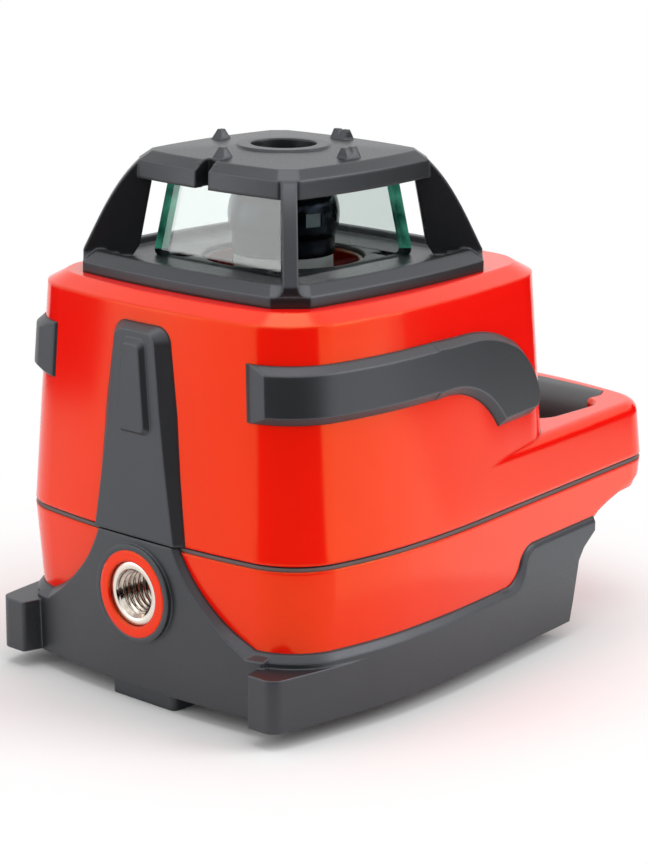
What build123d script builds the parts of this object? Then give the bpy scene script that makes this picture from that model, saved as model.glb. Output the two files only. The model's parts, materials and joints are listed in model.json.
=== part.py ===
"""Rotary laser level: a tower with a caged spinning head, a rear carrying grip and a rubber base.

Millimetres. The origin is on the rotor axis at the surface the level stands on. +Z is up and +X points
to the carrying grip. The body is symmetric about the XZ plane.
"""

import os
from math import atan, cos, radians, sin

from build123d import *

# Plan outline of the body at the seam between the two housings
FRONT_X = -69.7
FRONT_BOW = 6.0
SIDE_PEAK_X = -14.0
SIDE_PEAK_Y = 72.15
SIDE_FRONT_RADIUS = 155.0
SIDE_REAR_RADIUS = 360.0
SIDE_TAPER = 0.106
TOWER_TAPER = 0.16
GRIP_END_X = 147.0
GRIP_BOW = 8.4
FRONT_CORNER_RADIUS = 24.0
GRIP_CORNER_RADIUS = 18.0
TOWER_REAR_X = 82.5
TOWER_BOW = 2.0
TOWER_CORNER_RADIUS = 26.0

# Heights
FOOT_Z = 6.0
TRAY_Z = 9.0
TRAY_FLOOR_Z = 12.2
BUMPER_EDGE_Z = 25.8
BUMPER_TOP_Z = 28.8
TAIL_EDGE_Z = 39.7
TAIL_TOP_Z = 42.8
GRIP_BOTTOM_Z = 43.8
GASKET_Z = 56.8
GASKET_TOP_Z = 58.3
SEAM_Z = 58.7
FLARE_Z = 58.2
GRIP_TOP_Z = 78.5
SHOULDER_Z = 135.7
TOP_Z = 139.2
DECK_Z = 143.9
PIVOT_Z = 118.0

# Walls and leans
WALL = 3.0
TOWER_FRONT_LEAN = 2.6
TOWER_SIDE_LEAN = 6.0
TOWER_REAR_LEAN = 3.0
SHOULDER_INSET = 6.2
TRAY_INSET = 3.8
GRIP_PROUD = 3.0
TAIL_PROUD = 1.7
SLIT = 0.05

# Grip opening and its soft liner
GRIP_GAP_X0 = 83.5
GRIP_GAP_X1 = 121.5
GRIP_GAP_Y = 48.0
GRIP_GAP_RADIUS = 9.0
LINER = 2.0
LINER_TOP_Z = 74.6
ROLL_RADIUS = 10.8
ROLL_TOP_Z = 78.9
ROLL_HALF_Y = 41.0

# Tripod threads, 5/8-11, bored at the minor diameter
THREAD_RADIUS = 6.85
INSERT_RADIUS = 11.2
INSERT_LENGTH = 16.0
SIDE_THREAD_Z = 39.0
SIDE_THREAD_X = -72.3
BOSS_X = -73.3
BOSS_RADIUS = 15.0
COLLAR_RUBBER = 2.0

# Head guard and glass
GUARD_CORNER = 48.2
GUARD_MIDDLE = 55.4
GUARD_CUT = 4.6
RIM_CORNER = 34.6
RIM_MIDDLE = 39.4
RIM_CUT = 2.5
ROOF_CORNER = 31.4
ROOF_MIDDLE = 35.8
ROOF_CUT = 2.2
RIM_BOTTOM_Z = 171.0
RIM_Z = 177.0
ROOF_EDGE_Z = 180.1
ROOF_Z = 181.5
POST_HALF = 2.5
POST_FOOT = 68.1
DECK_HOLE_RADIUS = 26.6
GLASS_FOOT = 31.4
GLASS_HEAD = 27.4
GLASS_FOOT_Z = 144.0
GLASS_HEAD_Z = 172.0
GLASS_THICK = 3.0
SCREW_X = 24.8
SCREW_Y = 22.5

# Spinning head and its drive
BALL_RADIUS = 17.75
BALL_Z = 158.1
NECK_RADIUS = 16.2
COLLAR_RADIUS = 15.6
COLLAR_Z = 132.0
NECK_Z = 145.0
BEAM_ANGLE = -106.6
SHAFT_RADIUS = 10.0
PULLEY_RADIUS = 14.0
MOTOR_X = 38.0
MOTOR_PULLEY_RADIUS = 6.0
BELT_THICK = 1.2
RUN = 0.05
LEG_X = 36.0
LEG_Y = 42.0

# Rear standing pads
PAD_X = 75.0
PAD_Y = 33.0

# Keypad on the back of the tower
KEY_Z = 104.0
KEY_RADIUS = 4.4
KEY_GAP = 0.35
KEY_SPOTS = ((-15, 9), (0, 9), (15, 9), (-9, -9), (9, -9))
KEY_NAMES = ("key_speed", "key_power", "key_scan", "key_slope_x", "key_slope_y")


def sag(run, radius):
    """How far a circle has fallen away from its peak after a run along the tangent."""
    return radius - (radius**2 - run**2) ** 0.5


def outline(level, inset=0.0, front=0.0, side=0.0, rear=None):
    """Plan outline at a height: the whole body, or the tower alone where rear gives its lean.

    front and side pull those faces in, and inset pulls every face in.
    """
    front_x = FRONT_X + front + inset
    corner_x = front_x + FRONT_BOW
    peak_y = SIDE_PEAK_Y - side - inset
    corner_y = peak_y - sag(corner_x - SIDE_PEAK_X, SIDE_FRONT_RADIUS)
    mid_x = (corner_x + SIDE_PEAK_X) / 2
    mid_y = peak_y - sag(mid_x - SIDE_PEAK_X, SIDE_FRONT_RADIUS)
    taper = SIDE_TAPER if rear is None else TOWER_TAPER
    turn = SIDE_REAR_RADIUS * sin(atan(taper))
    turn_x = SIDE_PEAK_X + turn
    turn_y = peak_y - sag(turn, SIDE_REAR_RADIUS)
    half_x = SIDE_PEAK_X + turn / 2
    half_y = peak_y - sag(turn / 2, SIDE_REAR_RADIUS)
    if rear is None:
        end_mid = GRIP_END_X - side - inset
        end_x = end_mid - GRIP_BOW
        end_radius = GRIP_CORNER_RADIUS - inset
    else:
        end_mid = TOWER_REAR_X - rear - inset
        end_x = end_mid - TOWER_BOW
        end_radius = TOWER_CORNER_RADIUS - inset
    end_y = turn_y - (end_x - turn_x) * taper
    with BuildSketch(Plane.XY.offset(level)) as plan:
        with BuildLine():
            ThreePointArc((corner_x, corner_y), (front_x, 0), (corner_x, -corner_y))
            ThreePointArc((corner_x, -corner_y), (mid_x, -mid_y), (SIDE_PEAK_X, -peak_y))
            ThreePointArc((SIDE_PEAK_X, -peak_y), (half_x, -half_y), (turn_x, -turn_y))
            Line((turn_x, -turn_y), (end_x, -end_y))
            ThreePointArc((end_x, -end_y), (end_mid, 0), (end_x, end_y))
            Line((end_x, end_y), (turn_x, turn_y))
            ThreePointArc((turn_x, turn_y), (half_x, half_y), (SIDE_PEAK_X, peak_y))
            ThreePointArc((SIDE_PEAK_X, peak_y), (mid_x, mid_y), (corner_x, corner_y))
        make_face()
        fillet(plan.vertices().group_by(Axis.X)[-1], end_radius)
        fillet(plan.vertices().group_by(Axis.X)[0], FRONT_CORNER_RADIUS - inset)
    return plan.sketch


def tower(level, inset=0.0):
    """Tower outline at a height, leaning in evenly from the seam to the shoulder."""
    share = (level - SEAM_Z) / (SHOULDER_Z - SEAM_Z)
    return outline(level, inset, TOWER_FRONT_LEAN * share, TOWER_SIDE_LEAN * share, TOWER_REAR_LEAN * share)


def tower_side(x, level):
    """Half width of the tower behind its widest point."""
    lean = TOWER_SIDE_LEAN * (level - SEAM_Z) / (SHOULDER_Z - SEAM_Z)
    return SIDE_PEAK_Y - lean - sag(x - SIDE_PEAK_X, SIDE_REAR_RADIUS)


def grip_side(x):
    """Half width of the body at the seam on its straight rear taper."""
    turn = SIDE_REAR_RADIUS * sin(atan(SIDE_TAPER))
    return SIDE_PEAK_Y - sag(turn, SIDE_REAR_RADIUS) - (x - SIDE_PEAK_X - turn) * SIDE_TAPER


def grip_gap(level, grow=0.0):
    """Plan of the hand opening behind the tower, with rounded corners."""
    with BuildSketch(Plane.XY.offset(level)) as gap:
        with Locations(((GRIP_GAP_X0 + GRIP_GAP_X1) / 2, 0)):
            RectangleRounded(
                GRIP_GAP_X1 - GRIP_GAP_X0 + 2 * grow, 2 * (GRIP_GAP_Y + grow), GRIP_GAP_RADIUS + grow
            )
    return gap.sketch


def guard_plan(level, corner, middle, cut):
    """Square plan with bowed sides and cut corners: corner is the middle of each cut."""
    with BuildSketch(Plane.XY.offset(level)) as plan:
        with BuildLine():
            for quarter in range(4):
                start = Vector(corner + cut, cut - corner).rotate(Axis.Z, quarter * 90)
                bow = Vector(middle, 0).rotate(Axis.Z, quarter * 90)
                stop = Vector(corner + cut, corner - cut).rotate(Axis.Z, quarter * 90)
                turn = Vector(corner - cut, corner + cut).rotate(Axis.Z, quarter * 90)
                ThreePointArc(start, bow, stop)
                Line(stop, turn)
        make_face()
    return plan.sketch


def pane_plan(level, half):
    """Plan of one glass pane on the +X side, mitred at its ends with a thin joint."""
    inner = half - GLASS_THICK
    with BuildSketch(Plane.XY.offset(level)) as plan:
        with BuildLine():
            Polyline((half, SLIT - half), (half, half - SLIT), (inner, inner - SLIT))
            Polyline((inner, inner - SLIT), (inner, SLIT - inner), (half, SLIT - half))
        make_face()
    return plan.sketch


KEY_LEAN = atan(TOWER_REAR_LEAN / (SHOULDER_Z - SEAM_Z))
KEY_X = TOWER_REAR_X - TOWER_REAR_LEAN * (KEY_Z - SEAM_Z) / (SHOULDER_Z - SEAM_Z)
KEY_PLANE = Plane(origin=(KEY_X, 0, KEY_Z), x_dir=(0, 1, 0), z_dir=(cos(KEY_LEAN), 0, sin(KEY_LEAN)))
DOOR_X = 83.6
DOOR_Z = 11.4
DOOR_LEAN = atan(4 / 15)
DOOR_PLANE = Plane(origin=(DOOR_X, 0, DOOR_Z), x_dir=(0, 1, 0), z_dir=(cos(DOOR_LEAN), 0, -sin(DOOR_LEAN)))
ROLL_X = GRIP_GAP_X1 + ROLL_RADIUS
ROLL_Z = ROLL_TOP_Z - ROLL_RADIUS
GRIP_SHARE = (GRIP_TOP_Z - SEAM_Z) / (SHOULDER_Z - SEAM_Z)
BOSSES = ((-50, -58), (-50, 58), (62, -57), (62, 57))
LEGS = ((-LEG_X, -LEG_Y), (-LEG_X, LEG_Y), (LEG_X, -LEG_Y), (LEG_X, LEG_Y))
ARMS = tuple((0.86 * x, 0.86 * y) for x, y in LEGS)
GUARD_SCREWS = ((-SCREW_X, -SCREW_Y), (-SCREW_X, SCREW_Y), (SCREW_X, -SCREW_Y), (SCREW_X, SCREW_Y))

os.makedirs("parts", exist_ok=True)

# Solid form of the tower, also used to trim what is fixed on it
with BuildPart() as tower_form:
    loft([tower(SEAM_Z), tower(SHOULDER_Z), tower(TOP_Z, SHOULDER_INSET)], ruled=True)

# Solid form of the lower body, also used to trim the rubber base
with BuildPart() as tray_form:
    loft([outline(TRAY_Z, TRAY_INSET), outline(GASKET_Z)], ruled=True)
    with BuildSketch(Plane.XZ) as tail_side:
        with BuildLine():
            Polyline((-90, 0), (80.5, 0), (82, 13), (86, 28), (91, 33), (98, 38), (100.2, 40.6), (104, 43))
            Polyline((104, 43), (110, 45), (120, 47.6), (136, 51.5), (140, 60), (-90, 60), (-90, 0))
        make_face()
    extrude(amount=90, both=True, mode=Mode.INTERSECT)
    loft([outline(GRIP_BOTTOM_Z, 6), outline(46.4, 2.2), outline(50.5, 0.8), outline(GASKET_Z)], ruled=True)

# Space for the soft roll that goes from the opening's far wall over the top of the bar
with BuildPart() as roll_seat:
    with BuildSketch(Plane.XZ):
        with BuildLine():
            seat_radius = ROLL_RADIUS - LINER
            seat_45 = (ROLL_X - seat_radius * cos(radians(45)), ROLL_Z + seat_radius * sin(radians(45)))
            seat_top = (ROLL_X, ROLL_Z + seat_radius)
            Polyline((GRIP_GAP_X1 - 6, ROLL_Z), (ROLL_X - seat_radius, ROLL_Z))
            ThreePointArc((ROLL_X - seat_radius, ROLL_Z), seat_45, seat_top)
            Polyline(seat_top, (145, seat_top[1]), (145, 84), (GRIP_GAP_X1 - 6, 84))
            Line((GRIP_GAP_X1 - 6, 84), (GRIP_GAP_X1 - 6, ROLL_Z))
        make_face()
    extrude(amount=ROLL_HALF_Y, both=True)
    with BuildSketch(Plane.XY.offset(60)):
        with BuildLine():
            ThreePointArc((134.9, -38.3), (137.5, 0), (134.9, 38.3))
            Polyline((134.9, 38.3), (129.6, 41), (112, 41), (112, -41), (129.6, -41), (134.9, -38.3))
        make_face()
    extrude(amount=30, mode=Mode.INTERSECT)

# Upper housing: tower and the top half of the grip
with BuildPart() as upper_housing:
    loft(
        [
            outline(SEAM_Z, SLIT),
            outline(GRIP_TOP_Z, SLIT, TOWER_FRONT_LEAN * GRIP_SHARE, TOWER_SIDE_LEAN * GRIP_SHARE),
        ],
        ruled=True,
    )
    fillet(upper_housing.faces().sort_by(Axis.Z)[-1].edges(), 4.4)
    add(tower_form.part)
    extrude(outline(SEAM_Z - 1, WALL + 0.3), amount=16, mode=Mode.SUBTRACT)
    extrude(grip_gap(SEAM_Z, LINER + 2.6), amount=GRIP_TOP_Z - SEAM_Z - 1)
    loft([tower(SEAM_Z - 2, WALL), tower(SHOULDER_Z - 1.7, WALL + 0.4)], ruled=True, mode=Mode.SUBTRACT)
    extrude(grip_gap(SEAM_Z - 2, LINER), amount=LINER_TOP_Z - SEAM_Z + 2, mode=Mode.SUBTRACT)
    extrude(grip_gap(SEAM_Z), amount=30, mode=Mode.SUBTRACT)
    loft([grip_gap(GRIP_TOP_Z - 1.3), grip_gap(GRIP_TOP_Z + 0.1, 1.2)], ruled=True, mode=Mode.SUBTRACT)
    add(roll_seat.part, mode=Mode.SUBTRACT)
    with BuildSketch(Plane.XY.offset(128.6)):
        Circle(27.4)
    extrude(amount=TOP_Z - 128.6)
    with BuildSketch(Plane.XY.offset(TOP_Z)):
        Circle(DECK_HOLE_RADIUS - 0.35)
    extrude(amount=3.4)
    with BuildSketch(Plane.XY.offset(131.0)):
        Circle(24.6)
    extrude(amount=20, mode=Mode.SUBTRACT)
    with BuildSketch(Plane.XY.offset(120)):
        Circle(18)
    extrude(amount=20, mode=Mode.SUBTRACT)
    with BuildSketch(Plane.XY.offset(SEAM_Z)):
        with Locations(*BOSSES):
            Circle(4.5)
        with Locations((-50, 62), (-50, -62)):
            Rectangle(3, 8)
        with Locations((62, 61), (62, -61)):
            Rectangle(3, 6)
    extrude(amount=15)
    with BuildSketch(Plane.XY.offset(SEAM_Z - 1)):
        with Locations(*BOSSES):
            Circle(1.7)
    extrude(amount=13, mode=Mode.SUBTRACT)
    with BuildSketch(Plane.XY.offset(TOP_Z + 1)):
        with Locations(*GUARD_SCREWS):
            Circle(1.55)
    extrude(amount=-8, mode=Mode.SUBTRACT)
    with BuildSketch(KEY_PLANE.offset(-1.4)):
        RectangleRounded(50, 46, 6)
    extrude(amount=6, mode=Mode.SUBTRACT)
    with BuildSketch(KEY_PLANE.offset(-8)):
        with Locations(*KEY_SPOTS):
            Circle(KEY_RADIUS + KEY_GAP)
    extrude(amount=10, mode=Mode.SUBTRACT)
    with BuildSketch(KEY_PLANE.offset(-7.6)):
        with Locations((-20, -17), (-20, 17), (20, -17), (20, 17)):
            Circle(2)
    extrude(amount=5.4)
    with BuildSketch(Plane.YZ.offset(59.6)):
        with Locations((-31, 66), (31, 66)):
            Circle(2.5)
    extrude(amount=20)
    with BuildSketch(Plane.YZ.offset(59.6)):
        with Locations((-31, 112), (31, 112)):
            Circle(2.5)
    extrude(amount=16.8)
upper_housing.part.label = "upper_housing"
export_step(upper_housing.part, "parts/upper_housing.step")

# Lower housing: tray, lower half of the grip, thread bosses and battery opening
with BuildPart() as lower_housing:
    add(tray_form.part)
    extrude(outline(49, WALL + 1), amount=9, mode=Mode.SUBTRACT)
    extrude(grip_gap(GRIP_BOTTOM_Z + 0.2, LINER + 2.6), amount=GASKET_Z - GRIP_BOTTOM_Z - 0.2)
    cavity = [outline(TRAY_FLOOR_Z, 6.6, rear=0), outline(GASKET_Z + 1, WALL, rear=0)]
    loft(cavity, ruled=True, mode=Mode.SUBTRACT)
    extrude(grip_gap(GRIP_BOTTOM_Z - 2, LINER), amount=20, mode=Mode.SUBTRACT)
    with BuildSketch(Plane.XY.offset(33)):
        with Locations((79, 0)):
            Rectangle(18, 88)
    extrude(amount=5.8, mode=Mode.SUBTRACT)
    with BuildSketch(Plane.YZ.offset(70)):
        with Locations((0, 21)):
            Rectangle(66, 17)
    extrude(amount=30, mode=Mode.SUBTRACT)
    with BuildSketch(Plane.XY.offset(0)):
        Circle(22)
    extrude(amount=TRAY_FLOOR_Z + 6)
    with BuildSketch(Plane.YZ.offset(BOSS_X)):
        with Locations((0, SIDE_THREAD_Z)):
            Circle(BOSS_RADIUS)
    extrude(amount=INSERT_LENGTH + 4)
    with BuildSketch(Plane.XY.offset(TRAY_Z)):
        with Locations(*BOSSES):
            Circle(4.5)
    extrude(amount=GASKET_Z - TRAY_Z)
    with BuildSketch(Plane.XY.offset(TRAY_Z - 1)):
        with Locations(*BOSSES):
            Circle(1.8)
    extrude(amount=50, mode=Mode.SUBTRACT)
    with BuildSketch(Plane.XY.offset(TRAY_Z - 1)):
        with Locations(*BOSSES):
            Circle(3.3)
    extrude(amount=6, mode=Mode.SUBTRACT)
    with BuildSketch(Plane.XY.offset(-1)):
        Circle(INSERT_RADIUS)
    extrude(amount=INSERT_LENGTH + 1, mode=Mode.SUBTRACT)
    with BuildSketch(Plane.YZ.offset(BOSS_X - 1)):
        with Locations((0, SIDE_THREAD_Z)):
            Circle(INSERT_RADIUS)
    extrude(amount=SIDE_THREAD_X - BOSS_X + INSERT_LENGTH + 1, mode=Mode.SUBTRACT)
lower_housing.part.label = "lower_housing"
export_step(lower_housing.part, "parts/lower_housing.step")

# Seal between the housings
with BuildPart() as seam_gasket:
    extrude(outline(GASKET_Z, 0.5), amount=GASKET_TOP_Z - GASKET_Z)
    extrude(outline(GASKET_TOP_Z, 1.5), amount=SEAM_Z - GASKET_TOP_Z)
    extrude(outline(GASKET_Z - 1, WALL), amount=5, mode=Mode.SUBTRACT)
seam_gasket.part.label = "seam_gasket"
export_step(seam_gasket.part, "parts/seam_gasket.step")

# Soft liner in the grip opening, rolled over the top of the bar
with BuildPart() as grip_liner:
    extrude(grip_gap(GRIP_BOTTOM_Z + 0.4, LINER - SLIT), amount=LINER_TOP_Z - GRIP_BOTTOM_Z - 0.6)
    add(roll_seat.part)
    with BuildSketch(Plane.XZ):
        with BuildLine():
            roll_45 = (ROLL_X - ROLL_RADIUS * cos(radians(45)), ROLL_Z + ROLL_RADIUS * sin(radians(45)))
            Line((100, ROLL_Z), (GRIP_GAP_X1, ROLL_Z))
            ThreePointArc((GRIP_GAP_X1, ROLL_Z), roll_45, (ROLL_X, ROLL_TOP_Z))
            Polyline((ROLL_X, ROLL_TOP_Z), (150, ROLL_TOP_Z), (150, 90), (100, 90), (100, ROLL_Z))
        make_face()
    extrude(amount=ROLL_HALF_Y + 0.5, both=True, mode=Mode.SUBTRACT)
    extrude(grip_gap(40), amount=50, mode=Mode.SUBTRACT)
grip_liner.part.label = "grip_liner"
export_step(grip_liner.part, "parts/grip_liner.step")

# Rubber base: low skirt, raised tail, front flare, corner feet and standing pads
TAIL_PLANE = Plane(
    origin=(70, -grip_side(70) + 0.02, 30), x_dir=(1, SIDE_TAPER, 0), z_dir=(SIDE_TAPER, -1, 0)
)


def tail_profile(plane, foot, low, middle, high, top):
    """Side view of the raised tail: five points along its step, then square to the back and below."""
    with BuildSketch(plane) as profile:
        with BuildLine():
            Polyline((-30, -40), (-30, foot[1]), foot)
            ThreePointArc(foot, low, middle)
            ThreePointArc(middle, high, top)
            Polyline(top, (60, top[1]), (60, -40), (-30, -40))
        make_face()
    return profile.sketch


with BuildPart() as tail_side_right:
    inner_step = ((-26, -1.6), (-20.9, 0.6), (-18.4, 5.6), (-16.2, 10.7), (-11.5, 12.8))
    outer_step = ((-24.4, -4.6), (-18.9, -2.2), (-15.9, 3.6), (-13.9, 7.8), (-10.2, 9.7))
    loft(
        [
            tail_profile(TAIL_PLANE.offset(-TAIL_PROUD - 4), *inner_step),
            tail_profile(TAIL_PLANE.offset(-TAIL_PROUD), *inner_step),
            tail_profile(TAIL_PLANE, *outer_step),
        ],
        ruled=True,
    )

with BuildPart() as tail_core:
    extrude(outline(FOOT_Z, TAIL_PROUD + 1), amount=TAIL_TOP_Z - FOOT_Z)
    with BuildSketch(Plane.XZ):
        with BuildLine():
            Line((40, 0), (44, 28.4))
            Spline((44, 28.4), (50.5, 32.4), (53, 39), (58.5, 42.8), tangents=((1, 0), (1, 0)))
            Polyline((58.5, 42.8), (58.5, 50), (120, 50), (120, 0), (40, 0))
        make_face()
    extrude(amount=90, both=True, mode=Mode.INTERSECT)
    add(tail_side_right.part)
    mirror(tail_side_right.part, about=Plane.XZ)

with BuildPart() as base_skirt:
    loft([outline(FOOT_Z), outline(BUMPER_EDGE_Z), outline(BUMPER_TOP_Z, 2.3)], ruled=True)
    add(tail_core.part)
    with BuildSketch(Plane.XZ):
        with BuildLine():
            Polyline((-90, FOOT_Z), (84.2, FOOT_Z), (86.3, 13.4), (89.6, 27.7), (92.8, 31.8), (100.3, 36.5))
            Polyline((100.3, 36.5), (100.3, 60), (-90, 60), (-90, FOOT_Z))
        make_face()
    extrude(amount=90, both=True, mode=Mode.INTERSECT)


def flare_view(x):
    """Front view of the flare at one X: towards the back its sides spread and its shoulders rise."""
    spread = 0.57 * (x + 70)
    rise = 0.4 * (x + 67)
    waist = (18.2 + spread, FLARE_Z)
    low = (46 + spread, 26.6 + rise)
    shoulder = (54, 26 + rise)
    with BuildSketch(Plane.YZ.offset(x)) as view:
        with BuildLine():
            Line((0, FLARE_Z), waist)
            Spline(waist, (25 + spread, 45.4), (33 + spread, 36.7), low, tangents=((0.42, -1), (1, -0.75)))
            Polyline(low, shoulder, (54, FOOT_Z), (0, FOOT_Z), (0, FLARE_Z))
        make_face()
        mirror(about=Plane.YZ)
    return view.sketch


with BuildPart() as front_flare:
    loft([outline(FOOT_Z, -1.2), outline(FLARE_Z, -2.5)], ruled=True)
    loft([flare_view(-75), flare_view(-60)], ruled=True, mode=Mode.INTERSECT)

with BuildPart() as corner_feet:
    with BuildSketch(Plane.XY.offset(FOOT_Z)) as foot_plan:
        with BuildLine():
            Line((-73.9, 53.7), (-73.9, 64.9))
            ThreePointArc((-73.9, 64.9), (-48, 69.2), (-22, 71.9))
            Polyline((-22, 71.9), (-30, 58), (-58, 50), (-73.9, 53.7))
        make_face()
        fillet(foot_plan.vertices().sort_by(Axis.X)[:2].sort_by(Axis.Y)[-1], 4.5)
        fillet(foot_plan.vertices().sort_by(Axis.Y)[1], 1.2)
        mirror(about=Plane.XZ)
    extrude(amount=18)

with BuildPart() as base_bumper:
    add(base_skirt.part)
    add(front_flare.part)
    add(corner_feet.part)
    with BuildSketch(Plane.XY.offset(0)):
        with Locations((-60.5, 0)):
            RectangleRounded(16, 30, 2)
        with Locations((PAD_X, PAD_Y), (PAD_X, -PAD_Y)):
            RectangleRounded(15, 19, 3)
    extrude(amount=FOOT_Z + 0.5)
    with BuildSketch(Plane.YZ.offset(BOSS_X)):
        with Locations((0, SIDE_THREAD_Z)):
            Circle(BOSS_RADIUS + COLLAR_RUBBER)
    extrude(amount=6)
    add(tray_form.part, mode=Mode.SUBTRACT)
    extrude(outline(GASKET_Z - 1), amount=5, mode=Mode.SUBTRACT)
    extrude(outline(FOOT_Z - 1, 16, rear=0), amount=5, mode=Mode.SUBTRACT)
    with BuildSketch(Plane.YZ.offset(-90)):
        with Locations((0, SIDE_THREAD_Z)):
            Circle(BOSS_RADIUS + SLIT)
    extrude(amount=40, mode=Mode.SUBTRACT)
    with BuildSketch(Plane.YZ.offset(78)):
        with Locations((0, 19.4)):
            Rectangle(71, 22)
    extrude(amount=40, mode=Mode.SUBTRACT)
    with BuildSketch(Plane.XZ.offset(-38.2)):
        with Locations((DOOR_X, DOOR_Z)):
            Circle(0.82)
    extrude(amount=76.4, mode=Mode.SUBTRACT)
base_bumper.part.label = "base_bumper"
export_step(base_bumper.part, "parts/base_bumper.step")

# Lay-down leg on the front of the tower, with a raised heel
LEG_LEAN = atan(1 / 66.4)
LEG_PLANE = Plane(origin=(-72.2, 0, SEAM_Z), x_dir=(0, -1, 0), z_dir=(-cos(LEG_LEAN), 0, sin(LEG_LEAN)))


def leg_profile(plane, foot, knee, waist, head, top, corner):
    """Tapering leg outline on a plane: half widths at four heights, then a flat top with round corners."""
    level = top - corner
    turn = corner * (1 - cos(radians(45)))
    with BuildSketch(plane) as profile:
        with BuildLine():
            Polyline((-head, level), (-waist, 43.3), (-knee, 22.3), (-foot, 0.2), (foot, 0.2), (knee, 22.3))
            Polyline((knee, 22.3), (waist, 43.3), (head, level))
            ThreePointArc((head, level), (head - turn, top - turn), (head - corner, top))
            Line((head - corner, top), (corner - head, top))
            ThreePointArc((corner - head, top), (turn - head, top - turn), (-head, level))
        make_face()
    return profile.sketch


def heel_profile(plane, foot, head, low, high, corner):
    """Narrow raised pad on the leg, with round corners."""
    with BuildSketch(plane) as profile:
        with BuildLine():
            Polyline((-head, high), (-foot, low), (foot, low), (head, high), close=True)
        make_face()
        fillet(profile.vertices(), corner)
    return profile.sketch


with BuildPart() as leg_rest:
    loft(
        [
            leg_profile(LEG_PLANE, 18.5, 14.7, 11.7, 9.3, 69.6, 4.0),
            leg_profile(LEG_PLANE.offset(-7), 24.5, 22.5, 21.0, 16.5, 73.6, 8.0),
        ],
        ruled=True,
    )
    loft(
        [
            heel_profile(LEG_PLANE.offset(-1), 8.6, 5.4, 34.3, 68.2, 3.0),
            heel_profile(LEG_PLANE.offset(1.9), 6.4, 3.7, 36.8, 65.4, 1.9),
        ],
        ruled=True,
    )
    add(tower_form.part, mode=Mode.SUBTRACT)
leg_rest.part.label = "leg_rest"
export_step(leg_rest.part, "parts/leg_rest.step")

# Soft side grips wrapped round the front corners of the tower, each ending in a hook towards the back
HOOK_X = 30.0
HOOK_Z = 107.0
HOOK_TURN = 0.125
HOOK_Y = tower_side(HOOK_X, HOOK_Z)
HOOK_PLANE = Plane(origin=(HOOK_X, -HOOK_Y, HOOK_Z), x_dir=(1, HOOK_TURN, 0), z_dir=(HOOK_TURN, -1, 0.077))

with BuildPart() as grip_hook:
    with BuildSketch(HOOK_PLANE.offset(-1.6)) as hook_profile:
        with BuildLine():
            Polyline((-14, 17.4), (-40, 16.8), (-40, -2.9), (-26, -3.4))
            ThreePointArc((-26, -3.4), (-9.2, -7.3), (5.6, -20.4))
            Line((5.6, -20.4), (28.4, -19.8))
            ThreePointArc((28.4, -19.8), (33.8, -16.6), (34.4, -9.3))
            ThreePointArc((34.4, -9.3), (27.2, 3.2), (14.8, 11.7))
            ThreePointArc((14.8, 11.7), (1.4, 16.2), (-14, 17.4))
        make_face()
    extrude(hook_profile.sketch, amount=GRIP_PROUD + 2.2, taper=42)
    loft([tower(80, -GRIP_PROUD), tower(SHOULDER_Z, -GRIP_PROUD)], ruled=True, mode=Mode.INTERSECT)
    with BuildSketch(Plane.YZ.offset(0.0)):
        with Locations((-60, 107)):
            Rectangle(60, 60)
    extrude(amount=-60, mode=Mode.SUBTRACT)

def grip_reach(level):
    """Plan of the room for the right grip at one height: its front end follows the lean of the corner."""
    front_x = TOWER_FRONT_LEAN * (level - 114) / (SHOULDER_Z - SEAM_Z)
    front_y = TOWER_SIDE_LEAN * (level - 114) / (SHOULDER_Z - SEAM_Z)
    inside = (front_x - 63.8, front_y - 35)
    outside = (front_x - 67.7, front_y - 80.5)
    with BuildSketch(Plane.XY.offset(level)) as plan:
        with BuildLine():
            Polyline((0.1, -90), (0.1, -40), inside, outside, close=True)
        make_face()
    return plan.sketch


with BuildPart() as side_grip_right:
    loft(
        [
            tower(104.4, -0.3),
            tower(107.3, -GRIP_PROUD),
            tower(120.8, -GRIP_PROUD),
            tower(123.4, -0.3),
        ],
        ruled=True,
    )
    loft([grip_reach(100), grip_reach(130)], ruled=True, mode=Mode.INTERSECT)
    add(grip_hook.part)
    add(tower_form.part, mode=Mode.SUBTRACT)
side_grip_right.part.label = "side_grip_right"
export_step(side_grip_right.part, "parts/side_grip_right.step")

with BuildPart() as side_grip_left:
    mirror(side_grip_right.part, about=Plane.XZ)
side_grip_left.part.label = "side_grip_left"
export_step(side_grip_left.part, "parts/side_grip_left.step")

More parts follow.
